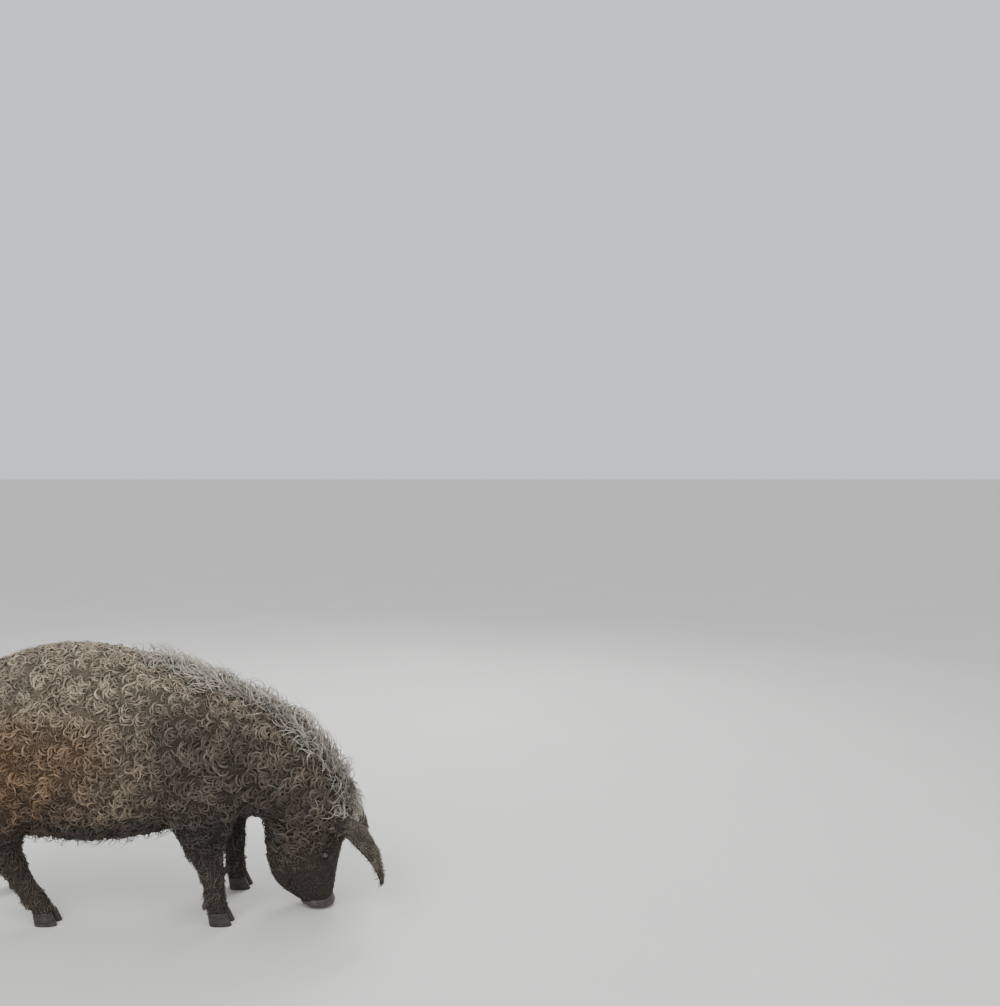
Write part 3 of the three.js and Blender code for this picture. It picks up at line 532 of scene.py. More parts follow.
def nearest_hair(sources, points):
    """For each point, the number of the part that is nearest, and its lie, depth, station and angle."""
    columns = []
    for k in range(5):
        column = [np.asarray(values[k], float) for values in sources.values()]
        columns.append(np.concatenate([v.reshape(-1, 3) if v.ndim == 3 else v.ravel() for v in column]))
    places = columns[0]
    owner = np.repeat(np.arange(len(sources)), [values[3].size for values in sources.values()])
    tree = kdtree.KDTree(len(places))
    for i, place in enumerate(places):
        tree.insert(place, i)
    tree.balance()
    nearest = np.array([tree.find(p)[1] for p in points])
    return [column[nearest] for column in (owner, *columns[1:])]


def evened(mesh, values):
    """Averages what each vertex has with what its neighbours have, a few times over."""
    edges = np.zeros(len(mesh.edges) * 2, np.int32)
    mesh.edges.foreach_get("vertices", edges)
    edges = edges.reshape(-1, 2)
    count = 1.0 + np.bincount(edges.ravel(), minlength=len(values))
    for _ in range(EVENING_ROUNDS):
        total = values.copy()
        for i, j in ((0, 1), (1, 0)):
            np.add.at(total, edges[:, i], values[edges[:, j]])
        values = total / (count[:, None] if values.ndim > 1 else count)
    return values


def bare_places(points):
    """1 at the eyes and along the mouth, and 0 where hair may grow."""
    bare = np.zeros(len(points))
    for side in (-1, 1):
        middle, out, ahead, rise = eye_frame(side)
        local = (points - middle) / MM
        reach = np.sqrt((local @ ahead / BARE_HALF_LENGTH) ** 2 + (local @ rise / BARE_HALF_HEIGHT) ** 2)
        around_eye = (1 - step_up(reach, 0.9, 1.3)) * (local @ out >= -BARE_SINK)
        lips = bump_at(distance_to_line(points, mouth_line(side)) / MM, 0, BARE_LIP)
        bare = np.maximum(bare, np.maximum(around_eye, lips))
    return bare


def hair_fields(skin):
    """Writes on the skin the lie, the depth and, for each piece of coat, where it grows."""
    sources = {"body": body_hair(), "tail": tail_hair(), **{name: leg_hair(name) for name in LEGS},
               **{f"ear_{side}": ear_hair(side) for side in EARS}}
    mesh = skin.data
    points, normals = vertex_array(mesh), vertex_array(mesh, "normal")
    owner, lie, depth, t, a = nearest_hair(sources, points)
    lie, depth = evened(mesh, lie), evened(mesh, depth)
    lie = unit(lie - normals * np.sum(lie * normals, axis=1)[:, None])
    on = {name: owner == n for n, name in enumerate(sources)}
    body, height = on["body"], points[:, 2]
    bare = bare_places(points)
    muzzle_end = body * step_up(t, *MUZZLE_BARE)
    grows = (1 - bare) * (1 - muzzle_end) * (1 - (1 - step_up(height, *CLAW_HAIR)) * ~body)
    fields = {}
    for band, start, end in zip(BAND_NAMES, BANDS, BANDS[1:]):
        for side, sign in (("right", -1), ("left", 1)):
            fields[f"{band}_{side}"] = body * (t >= start) * (t < end) * (points[:, 1] * sign >= 0) * grows
    fields["head"] = body * (t >= NECK_END) * (t < FACE_START) * grows
    fields["face"] = body * (t >= FACE_START) * grows
    for name in LEGS:
        fields[name] = on[name] * (height > SHIN_TOP) * grows
        fields[f"{name}_shin"] = on[name] * (height <= SHIN_TOP) * grows
    for side in EARS:
        fields[f"ear_{side}"] = on[f"ear_{side}"] * (1 - EAR_HOLLOW_LOSS * a)
    fields["tail"] = on["tail"] * 1.0
    reach = 0.1 + 0.14 * step_up(t, 9, 12) + 0.4 * step_up(t, 12.7, 13.5)
    along_crest = body * step_up(t, *CREST_BEGINS) * (1 - step_up(t, *CREST_ENDS))
    fields["crest"] = along_crest * (1 - step_up(from_spine(a), reach, reach + 0.32))
    fields["tail_tuft"] = on["tail"] * step_up(t, *TAIL_TUFT_BEGINS)
    underside = body * step_up(t, *FRINGE_BEGINS) * (1 - step_up(t, *FRINGE_ENDS))
    fields["belly_fringe"] = underside * bump_at(np.abs(a - 1.5 * math.pi), 0.55, 0.3)
    for name, values in fields.items():
        put(mesh, f"on_{name}", "FLOAT", values)
    put(mesh, "lie", "FLOAT_VECTOR", lie)
    put(mesh, "depth", "FLOAT", depth * MM)
    hollow = (on["ear_right"] | on["ear_left"]) * a
    put(mesh, "bare", "FLOAT", np.clip(bare + muzzle_end + hollow, 0, 1))


def put(mesh, name, kind, values):
    """Writes a named value on each vertex."""
    layer = mesh.attributes.new(name, kind, "POINT")
    field = "vector" if kind == "FLOAT_VECTOR" else "value"
    layer.data.foreach_set(field, np.asarray(values, np.float32).ravel())


UNWRAP_DEGREES, UNWRAP_MARGIN = 66, 0.002


def unwrap(piece):
    """A map of the piece's own shape, named OFBake."""
    piece.data.uv_layers.new(name="OFBake")
    bpy.ops.object.select_all(action="DESELECT")
    piece.select_set(True)
    bpy.context.view_layer.objects.active = piece
    bpy.ops.object.mode_set(mode="EDIT")
    bpy.ops.mesh.select_all(action="SELECT")
    bpy.ops.uv.smart_project(angle_limit=math.radians(UNWRAP_DEGREES), island_margin=UNWRAP_MARGIN)
    bpy.ops.object.mode_set(mode="OBJECT")


def add_part(piece, points, faces):
    """Adds a separate closed part to a piece's mesh."""
    part = new_object("part", points, faces)
    shape = bmesh.new()
    shape.from_mesh(piece.data)
    shape.from_mesh(part.data)
    shape.to_mesh(piece.data)
    shape.free()
    bpy.data.objects.remove(part)
    for face in piece.data.polygons:
        face.use_smooth = True


class Wire:
    """A socket whose arithmetic makes nodes."""

    def __init__(self, graph, socket):
        self.graph, self.socket = graph, socket

    def output(self, number):
        """Another output of the node that this one comes from."""
        return Wire(self.graph, self.socket.node.outputs[number])

    def __add__(self, other):
        return self.graph.math("ADD", self, other)

    def __radd__(self, other):
        return self.graph.math("ADD", other, self)

    def __sub__(self, other):
        return self.graph.math("SUBTRACT", self, other)

    def __rsub__(self, other):
        return self.graph.math("SUBTRACT", other, self)

    def __mul__(self, other):
        return self.graph.math("MULTIPLY", self, other)

    def __rmul__(self, other):
        return self.graph.math("MULTIPLY", other, self)

    def __truediv__(self, other):
        return self.graph.math("DIVIDE", self, other)

    def __rtruediv__(self, other):
        return self.graph.math("DIVIDE", other, self)

    def __pow__(self, other):
        return self.graph.math("POWER", self, other)


class Graph:
    """Makes the nodes of one tree, for a material or for geometry."""

    def __init__(self, tree):
        self.tree = tree

    def node(self, kind, settings=None, inputs=None, out=0):
        """A node with its settings, then the values or links of its sockets; out picks its output."""
        node = self.tree.nodes.new(kind)
        for name, value in (settings or {}).items():
            setattr(node, name, value)
        for name, value in (inputs or {}).items():
            if isinstance(value, Wire):
                self.tree.links.new(value.socket, node.inputs[name])
            else:
                node.inputs[name].default_value = value
        return Wire(self, node.outputs[out])

    def math(self, operation, a, b):
        """Arithmetic on numbers or on vectors; a vector may be scaled by a number."""
        vectors = [isinstance(v, Wire) and v.socket.type in ("VECTOR", "RGBA") for v in (a, b)]
        if not any(vectors):
            return self.node("ShaderNodeMath", {"operation": operation}, {0: a, 1: b})
        if operation == "MULTIPLY" and not vectors[1]:
            return self.node("ShaderNodeVectorMath", {"operation": "SCALE"}, {0: a, "Scale": b})
        return self.node("ShaderNodeVectorMath", {"operation": operation}, {0: a, 1: b})

    def vector(self, x, y, z):
        return self.node("ShaderNodeCombineXYZ", None, {0: x, 1: y, 2: z})

    def numbers(self, vector):
        """The three numbers of a vector."""
        first = self.node("ShaderNodeSeparateXYZ", None, {0: vector})
        return first, first.output(1), first.output(2)

    def place(self):
        """Where on the piece a point lies, in metres."""
        return self.node("ShaderNodeTexCoord", out=3)

    def mix(self, share, a, b):
        return self.node("ShaderNodeMix", {"data_type": "RGBA"}, {0: share, 6: a, 7: b}, out=2)

    def ramp(self, value, low, high):
        """0 below low and 1 above high, with a soft passage between."""
        return self.node(
            "ShaderNodeMapRange", {"interpolation_type": "SMOOTHSTEP"},
            {"Value": value, "From Min": low, "From Max": high},
        )

    def noise(self, place, scale, detail=3.0, roughness=0.55, distortion=0.0):
        return self.node("ShaderNodeTexNoise", None, {
            "Vector": place, "Scale": scale, "Detail": detail, "Roughness": roughness,
            "Distortion": distortion})

    def attribute(self, name, out=2):
        """A number named on the mesh, or with out=1 a vector."""
        return self.node("ShaderNodeAttribute", {"attribute_name": name}, None, out)


# Tufts: each a flat lock of hair along +X from its root, one unit long, with +Z away from the skin
CURL_RINGS, BRISTLE_RINGS = 8, 5
LOCK_SINK, LOCK_TAPER = 0.06, 1.5  # the share of its length that is under the skin, and how late it thins
LOCK_SECTION = ((-1, -0.35), (0, 0.65), (1, -0.35))


def lock_part(rings, heading, pitch, half_width, thickness):
    """A closed three-sided lock; heading turns it sideways and pitch lifts it, in radians along it."""
    s = np.linspace(0, 1, rings + 1)
    middle = (s[1:] + s[:-1]) / 2
    turn, lift = heading(middle), pitch(middle)
    step = np.stack([np.cos(turn) * np.cos(lift), np.sin(turn) * np.cos(lift), np.sin(lift)], -1) / rings
    line = np.concatenate([[[0, 0, 0]], np.cumsum(step, axis=0)])
    line[:, 2] -= LOCK_SINK
    along = unit(np.gradient(line, axis=0))
    across = unit(np.cross([0, 0, 1.0], along))
    up = np.cross(along, across)
    wide = half_width * (0.6 + 0.4 * np.sin(np.pi * np.minimum(s * 1.6, 0.5))) * (1 - s**LOCK_TAPER)
    points, patch = [], []
    for k in range(rings):
        for side, height in LOCK_SECTION:
            points.append(line[k] + across[k] * wide[k] * side + up[k] * wide[k] * thickness * height * 2)
            patch.append((s[k], 0.5 + 0.5 * side, 0))
    points.append(line[-1])
    patch.append((1, 0.5, 0))
    tip = len(points) - 1
    faces = [(0, 2, 1)]
    for k in range(rings - 1):
        for i in range(3):
            j = (i + 1) % 3
            faces.append((3 * k + i, 3 * k + j, 3 * k + 3 + j, 3 * k + 3 + i))
    faces += [(tip - 3 + i, tip - 3 + (i + 1) % 3, tip) for i in range(3)]
    return np.array(points), faces, patch


def shape_set(name, rings, shapes):
    """A collection of tuft shapes out of the scene: the left-turning ones, then the right-turning."""
    holder = bpy.data.collections.new(name)
    for hand in (1, -1):
        for n, (heading, pitch, wide, thick) in enumerate(shapes):
            label = f"{name}_{'left' if hand > 0 else 'right'}_{n}"
            points, faces, patch = lock_part(rings, lambda s: hand * heading(s), pitch, wide, thick)
            shape = new_object(label, points, faces)
            put(shape.data, "patch", "FLOAT_VECTOR", patch)
            holder.objects.link(shape)
            bpy.context.scene.collection.objects.unlink(shape)
    return {"Tufts": holder, "Kinds": len(shapes)}


def make_tuft_shapes():
    """Curls for the woolly coat, bristles for face, ears and legs, long locks for the crest."""
    return {
        "curls": shape_set("curl", CURL_RINGS, [
            (lambda s: 0.2 + 4.0 * s, lambda s: 0.6 - 1.7 * s, 0.07, 0.5),
            (lambda s: 5.6 * s**1.15, lambda s: 0.6 - 1.3 * s, 0.05, 0.6),
            (lambda s: 0.1 + 2.6 * s, lambda s: 0.7 - 1.9 * s, 0.085, 0.4),
            (lambda s: 0.5 + 3.2 * s, lambda s: 0.9 - 2.0 * s, 0.045, 0.6),
            (lambda s: 0.9 * np.sin(6.0 * s) + 1.2 * s, lambda s: 0.4 - 0.9 * s, 0.075, 0.4),
            (lambda s: 0.3 + 1.4 * s, lambda s: 1.1 - 3.2 * s, 0.055, 0.6),
            (lambda s: -0.4 + 3.6 * s, lambda s: 0.35 - 0.8 * s, 0.1, 0.3),
        ]),
        "bristles": shape_set("bristle", BRISTLE_RINGS, [
            (lambda s: 0.5 * s, lambda s: 0.42 - 0.75 * s, 0.05, 0.5),
            (lambda s: -0.3 + 1.3 * s, lambda s: 0.5 - 0.9 * s, 0.06, 0.5),
            (lambda s: 0.6 * np.sin(5 * s), lambda s: 0.35 - 0.5 * s, 0.055, 0.5),
            (lambda s: 0.3 + 1.9 * s, lambda s: 0.5 - 1.0 * s, 0.065, 0.5),
        ]),
        "locks": shape_set("lock", CURL_RINGS, [
            (lambda s: 0.9 * s, lambda s: 1.4 - 2.3 * s, 0.024, 0.5),
            (lambda s: 0.8 * np.sin(6 * s), lambda s: 1.1 - 2.0 * s, 0.022, 0.5),
            (lambda s: -0.5 + 3.2 * s**2, lambda s: 1.3 - 2.3 * s, 0.022, 0.5),
            (lambda s: 1.0 * np.sin(9 * s), lambda s: 0.8 - 2.0 * s**1.5, 0.02, 0.5),
        ]),
    }


COAT_INPUTS = {
    "Skin": "Geometry", "Where": "String", "Tufts": "Collection", "Kinds": "Int", "Swirl Size": "Float",
    "Swirl": "Float", "Spacing": "Float", "Length": "Float", "Most Length": "Float",
    "Least Length": "Float", "Turn": "Float", "Tilt": "Float", "Seed": "Int", "Hair": "Material",
}
PATCH_SIZE = 0.003  # how much of the skin's map a tuft takes
CROWDING = 3.0  # how many more roots are tried than stand once they keep their spacing
KEPT_LAYERS = {"position", "OFBake", "tone", "patch", "material_index", "sharp_face"}


def coat_tree():
    """Scatters tufts over the part of the skin that a named field picks, laid along its lie."""
    tree = bpy.data.node_groups.new("coat", "GeometryNodeTree")
    for label, kind in COAT_INPUTS.items():
        tree.interface.new_socket(label, in_out="INPUT", socket_type=f"NodeSocket{kind}")
    tree.interface.new_socket("Coat", in_out="OUTPUT", socket_type="NodeSocketGeometry")
    g = Graph(tree)
    entry = tree.nodes.new("NodeGroupInput")
    given = {label: Wire(g, entry.outputs[label]) for label in COAT_INPUTS}

    def field(name, kind="FLOAT"):
        return g.node("GeometryNodeInputNamedAttribute", {"data_type": kind}, {"Name": name})

    def stored(geometry, name, value, kind, domain):
        return g.node(
            "GeometryNodeStoreNamedAttribute", {"data_type": kind, "domain": domain},
            {"Geometry": geometry, "Name": name, "Value": value},
        )

    def chance(low, high, offset):
        """A random number of each tuft's own, a different one for each offset."""
        return g.node(
            "FunctionNodeRandomValue", {"data_type": "FLOAT"},
            {2: low, 3: high, "Seed": given["Seed"] + offset}, out=1,
        )

    roots = g.node(
        "GeometryNodeDistributePointsOnFaces", {"distribute_method": "POISSON"},
        {"Mesh": given["Skin"], "Distance Min": given["Spacing"], "Seed": given["Seed"],
         "Density Max": CROWDING / (given["Spacing"] * given["Spacing"]),
         "Density Factor": field(given["Where"])},
    )
    normal = roots.output(1)
    roots = stored(roots, "root", field("OFBake", "FLOAT_VECTOR"), "FLOAT_VECTOR", "POINT")
    place = g.node("GeometryNodeInputPosition")
    # Curls turn about the middles of cells, each cell left or right, and otherwise follow the lie
    cell = g.node("ShaderNodeTexVoronoi", None, {"Vector": place, "Scale": 1.0 / given["Swirl Size"]}, out=2)
    cell_hand, cell_tone, _ = g.numbers(cell.output(1))
    turns_right = g.math("GREATER_THAN", cell_hand, 0.5)
    spoke = g.node("ShaderNodeVectorMath", {"operation": "NORMALIZE"}, {0: place - cell})
    tangent = g.node("ShaderNodeVectorMath", {"operation": "CROSS_PRODUCT"}, {0: normal, 1: spoke})
    heading = field("lie", "FLOAT_VECTOR") + tangent * ((1.0 - turns_right * 2.0) * given["Swirl"])
    wander = (g.noise(place, 12.0, 1.0) - 0.5) * 3.0 * given["Turn"] + chance(-1.0, 1.0, 1) * given["Turn"]
    lie = g.node(
        "ShaderNodeVectorRotate", {"rotation_type": "AXIS_ANGLE"},
        {"Vector": heading, "Axis": normal, "Angle": wander},
    )
    facing = g.node(
        "FunctionNodeAxesToRotation", {"primary_axis": "Z", "secondary_axis": "X"},
        {"Primary Axis": normal, "Secondary Axis": lie},
    )
    lean = g.vector(chance(-1.0, 1.0, 2) * given["Tilt"], chance(-1.0, 1.0, 3) * given["Tilt"], 0.0)
    facing = g.node(
        "FunctionNodeRotateRotation", {"rotation_space": "LOCAL"},
        {"Rotation": facing, "Rotate By": g.node("FunctionNodeEulerToRotation", None, {0: lean})},
    )
    # Tufts differ in length from swirl to swirl and within each
    length = field("depth") * given["Length"] * (0.75 + cell_tone * 0.5) * chance(0.75, 1.25, 4)
    length = g.math("MINIMUM", g.math("MAXIMUM", length, given["Least Length"]), given["Most Length"])
    shapes = g.node(
        "GeometryNodeCollectionInfo", {"transform_space": "ORIGINAL"},
        {"Collection": given["Tufts"], "Separate Children": True, "Reset Children": True},
    )
    tufts = g.node(
        "GeometryNodeInstanceOnPoints", None,
        {"Points": roots, "Instance": shapes, "Pick Instance": True,
         "Instance Index": (turns_right + chance(0.0, 0.999, 6)) * given["Kinds"],
         "Rotation": facing, "Scale": g.vector(length, length, length)},
    )
    toned = stored(tufts, "tone", cell_tone * 0.6 + chance(0.0, 0.4, 5), "FLOAT", "INSTANCE")
    real = g.node("GeometryNodeRealizeInstances", None, {"Geometry": toned})
    patch = (field("patch", "FLOAT_VECTOR") - (0.5, 0.5, 0.0)) * PATCH_SIZE
    mapped = stored(real, "OFBake", field("root", "FLOAT_VECTOR") + patch, "FLOAT2", "CORNER")
    smooth_faces = g.node("GeometryNodeSetShadeSmooth", None, {"Geometry": mapped})
    done = g.node("GeometryNodeSetMaterial", None, {"Geometry": smooth_faces, "Material": given["Hair"]})
    leave = tree.nodes.new("NodeGroupOutput")
    tree.links.new(done.socket, leave.inputs[0])
    return tree


def grow(name, skin, tree, values):
    """One piece of coat as plain mesh."""
    piece = bpy.data.objects.new(name, skin.data)
    bpy.context.scene.collection.objects.link(piece)
    nodes = piece.modifiers.new("coat", "NODES")
    nodes.node_group = tree
    for item in tree.interface.items_tree:
        if item.item_type == "SOCKET" and item.in_out == "INPUT" and item.name in values:
            nodes[item.identifier] = values[item.name]
    mesh = applied(piece).data
    for layer in [a.name for a in mesh.attributes if a.name not in KEPT_LAYERS and a.name[0] != "."]:
        mesh.attributes.remove(mesh.attributes[layer])
    mesh.name = name
    return piece


# Materials
def material(name):
    """An empty material, and the graph that fills it."""
    made = bpy.data.materials.new(name)
    made.use_nodes = True
    made.node_tree.nodes.clear()
    return made, Graph(made.node_tree)


def finish_surface(g, colour, roughness, constants, height=None, depth=0.001):
    """Feeds a Principled surface; constants are the values that are alike all over."""
    wires = {"Base Color": colour, "Roughness": roughness}
    if height is not None:
        bump = {"Height": height, "Strength": 1.0, "Distance": depth}
        wires["Normal"] = g.node("ShaderNodeBump", None, bump)
    surface = g.node("ShaderNodeBsdfPrincipled", None, {**wires, **constants})
    out = g.tree.nodes.new("ShaderNodeOutputMaterial")
    g.tree.links.new(surface.socket, out.inputs["Surface"])


BACK_GREY = (0.47, 0.385, 0.275, 1)
FLANK_GREY = (0.31, 0.24, 0.165, 1)
RUMP_BROWN = (0.30, 0.175, 0.088, 1)
SHOULDER_DARK = (0.10, 0.078, 0.055, 1)
CHEEK_BROWN = (0.19, 0.145, 0.10, 1)
MUD_AND_SHADE_DARK = (0.035, 0.029, 0.024, 1)
WET_GREY = (0.13, 0.108, 0.084, 1)
EAR_GREY = (0.23, 0.195, 0.145, 1)
CREST_PALE = (0.70, 0.65, 0.55, 1)
BARE_SKIN = (0.035, 0.029, 0.025, 1)

# Where the colours pass into each other, in metres along the body (x) or up from the floor (z)
RUMP_X, BACK_Z = (-0.34, 0.08), (0.5, 0.74)
SHOULDER_X, SHOULDER_Z, NECK_FALL = (-0.05, 0.2), (0.6, 0.76), 0.55
CHEEK_BACK_X, CHEEK_FRONT_X, CHEEK_Z = (0.36, 0.46), (0.56, 0.62), (0.1, 0.2)
UNDERSIDE_Z, WET_LEG_Z = (0.25, 0.42), (0.12, 0.3)
EAR_X, EAR_Z = (0.595, 0.64), (0.08, 0.2)


def markings(g):
    """The animal's colours by place, the same for skin and coat, with uneven edges."""
    place = g.place()
    x, _, z = g.numbers(place)
    blotch = g.noise(place, 5.5, 4.0) - 0.5
    fine = g.noise(place, 26.0, 3.0) - 0.5
    level = z + blotch * 0.22 + fine * 0.07
    colour = g.mix(1 - g.ramp(x + blotch * 0.4, *RUMP_X), FLANK_GREY, RUMP_BROWN)
    colour = g.mix(g.ramp(level, *BACK_Z), colour, BACK_GREY)
    below_spine = level + g.math("MAXIMUM", x - 0.1, 0.0) * NECK_FALL
    shoulder = g.ramp(x + blotch * 0.3, *SHOULDER_X) * (1 - g.ramp(below_spine, *SHOULDER_Z))
    colour = g.mix(shoulder * 0.85, colour, SHOULDER_DARK)
    cheek = g.ramp(x, *CHEEK_BACK_X) * (1 - g.ramp(x, *CHEEK_FRONT_X)) * g.ramp(level, *CHEEK_Z)
    colour = g.mix(cheek * 0.6, colour, CHEEK_BROWN)
    under = (1 - g.ramp(level, *UNDERSIDE_Z)) * (1 - cheek * 0.7)
    colour = g.mix(under * 0.9, colour, g.mix(g.ramp(z + fine * 0.1, *WET_LEG_Z), WET_GREY, MUD_AND_SHADE_DARK))
    colour = g.mix(g.ramp(x, *EAR_X) * g.ramp(level, *EAR_Z) * 0.8, colour, EAR_GREY)
    patches = g.ramp(g.noise(place, 9.0, 3.0), 0.52, 0.7)
    colour = g.mix(patches * 0.45, colour, SHOULDER_DARK)
    return colour, place, fine


def coat_material(name, pale=0.0):
    """Hair that is dark at its root, with mud and painted shade there, and pale at its tip, with streaks
    along it.
    """
    made, g = material(name)
    colour, _, _ = markings(g)
    tone = g.attribute("tone")
    along, across, _ = g.numbers(g.attribute("patch", 1))
    strands = g.ramp(g.noise(g.vector(along * 2.5, across * 12.0, tone * 40.0), 1.0, 2.0), 0.3, 0.7)
    if pale:
        colour = g.mix(pale, colour, CREST_PALE)
    # Roots darker towards the skin: partly mud, partly painted shade between the tufts
    colour = g.mix((1 - g.ramp(along, 0.0, 0.6)) * 0.7, colour, MUD_AND_SHADE_DARK)
    colour = g.mix(g.ramp(along, 0.5, 1.0) * g.ramp(tone, 0.3, 1.0) * 0.45, colour, CREST_PALE)
    colour = colour * (0.55 + tone * 0.95) * (0.68 + strands * 0.85)
    finish_surface(
        g, colour, 0.72 + strands * 0.2, {"Specular IOR Level": 0.25, "Sheen Weight": 0.15},
        height=strands, depth=0.0012)
    return made


def skin_material():
    """The felted under-wool between the tufts, darkened with mud and painted shade, and bare skin where no
    hair grows.
    """
    made, g = material("matted_skin")
    colour, place, fine = markings(g)
    wool = g.noise(place, 160.0, 4.0)
    # Under-wool darker than the coat: partly mud, partly painted shade under and between the tufts
    colour = g.mix(0.45, colour, MUD_AND_SHADE_DARK) * (0.05 + wool * 0.75)
    colour = g.mix(g.ramp(g.attribute("bare"), 0.1, 0.8), colour, BARE_SKIN)
    height = wool + g.noise(place, 60.0, 3.0, 0.5, 2.0) * 1.5
    finish_surface(g, colour, 0.8 + fine * 0.2, {"Specular IOR Level": 0.2}, height=height, depth=0.005)
    return made


skin = make_skin()
sculpt_face(skin)
for side in EARS:
    add_part(skin, *ear_part(side))
hair_fields(skin)
unwrap(skin)
skin.data.materials.append(skin_material())

tufts = make_tuft_shapes()
coat = coat_tree()
wool, pale_wool = coat_material("curly_wool"), coat_material("crest_hair", pale=0.85)
# Lengths in metres, except Length, which is a share of the coat's depth at each place
WOOL = {**tufts["curls"], "Spacing": 0.0066, "Length": 1.9, "Most Length": 0.058, "Least Length": 0.02,
        "Swirl Size": 0.036, "Swirl": 1.3, "Turn": 0.35, "Tilt": 0.25, "Hair": wool}
COATS = {
    **{f"{band}_{side}": {} for band in BAND_NAMES for side in ("right", "left")},
    "head": {"Spacing": 0.006, "Length": 2.7, "Least Length": 0.014, "Swirl": 0.6, "Swirl Size": 0.032},
    "face": {**tufts["bristles"], "Spacing": 0.0046, "Length": 2.6, "Least Length": 0.013,
             "Swirl": 0.25, "Swirl Size": 0.02, "Turn": 0.3},
    **{leg: {"Spacing": 0.0071, "Length": 2.4, "Least Length": 0.02, "Swirl": 0.7, "Swirl Size": 0.03}
       for leg in LEGS},
    **{f"{leg}_shin": {**tufts["bristles"], "Spacing": 0.0052, "Length": 3.2, "Least Length": 0.021,
                       "Swirl": 0.35, "Swirl Size": 0.024, "Turn": 0.4} for leg in LEGS},
    **{f"ear_{side}": {**tufts["bristles"], "Spacing": 0.0045, "Length": 2.9, "Least Length": 0.016,
                       "Swirl": 0.1, "Turn": 0.25} for side in EARS},
    "tail": {"Spacing": 0.006, "Length": 2.6, "Swirl": 0.5, "Swirl Size": 0.02},
    "crest": {**tufts["locks"], "Spacing": 0.0056, "Length": 3.9, "Most Length": 0.11,
              "Least Length": 0.055, "Swirl": 0.9, "Swirl Size": 0.045, "Turn": 0.7, "Tilt": 0.4,
              "Hair": pale_wool},
    "tail_tuft": {**tufts["locks"], "Spacing": 0.0034, "Length": 8.0, "Most Length": 0.1,
                  "Least Length": 0.06, "Swirl": 0.2, "Turn": 0.5, "Hair": pale_wool},
    "belly_fringe": {**tufts["locks"], "Spacing": 0.011, "Length": 2.3, "Most Length": 0.07,
                     "Least Length": 0.04, "Turn": 0.9, "Tilt": 0.5},
}
pieces = [skin]
for n, (name, changes) in enumerate(COATS.items()):
    values = {**WOOL, "Where": f"on_{name}", "Seed": 10 + 20 * n, **changes}
    pieces.append(grow(f"coat_{name}", skin, coat, values))
for kind in tufts.values():
    for shape in list(kind["Tufts"].objects):
        bpy.data.objects.remove(shape)
    bpy.data.collections.remove(kind["Tufts"])

FLESH = [name for name in frame["nodes"] if not name.startswith(("eye", "snout")) and "claw" not in name]
for piece in pieces:
    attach(piece, "root")
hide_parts(*FLESH)


GRAIN_DEPTH = 0.0008


def plain_material(name, dark, light, scale, roughness, stretch=(1, 1, 1)):
    """A finish of two shades with a fine grain."""
    made, g = material(name)
    stretched = g.node("ShaderNodeVectorMath", {"operation": "MULTIPLY"}, {0: g.place(), 1: stretch})
    grain = g.noise(stretched, scale, 5.0, 0.6)
    shade = g.mix(g.ramp(grain, 0.35, 0.7), dark, light)
    finish_surface(g, shade, roughness + grain * 0.2, {}, height=grain, depth=GRAIN_DEPTH)
    return made


def round_loft(name, points):
    """A closed piece through rings of points, with a fan over each end."""
    rings, sides = points.shape[:2]
    faces = grid_faces(rings, sides, capped=False)
    first = rings * sides
    for i in range(sides):
        j = (i + 1) % sides
        faces += [(first, j, i), (first + 1, first - sides + i, first - sides + j)]
    ends = np.stack([points[0].mean(0), points[-1].mean(0)])
    return new_object(name, np.concatenate([points.reshape(-1, 3), ends]), faces)


SNOUT_STATION = 19.5
SNOUT_CENTRE = (np.array([541, 0, 10]) - (ORIGIN_X, 0, 0)) * MM
SNOUT_FACE = unit(np.array([-0.12, 0, -0.99]))
SNOUT_FORE = np.array([-SNOUT_FACE[2], 0, SNOUT_FACE[0]])
SNOUT_HALF_DEPTH, SNOUT_HALF_WIDTH = 49, 46
SNOUT_SWELL = (0.99, 1.06, 1.1, 1.11, 1.08, 0.97)
NOSTRIL_APART, NOSTRIL_FORWARD, NOSTRIL_RADIUS, NOSTRIL_DEPTH = 17, 4, 8, 14
NOSTRIL_STRETCH, NOSTRIL_SQUEEZE = 1.2, 0.9  # fore and aft, and across
SNOUT_SIDES = 96


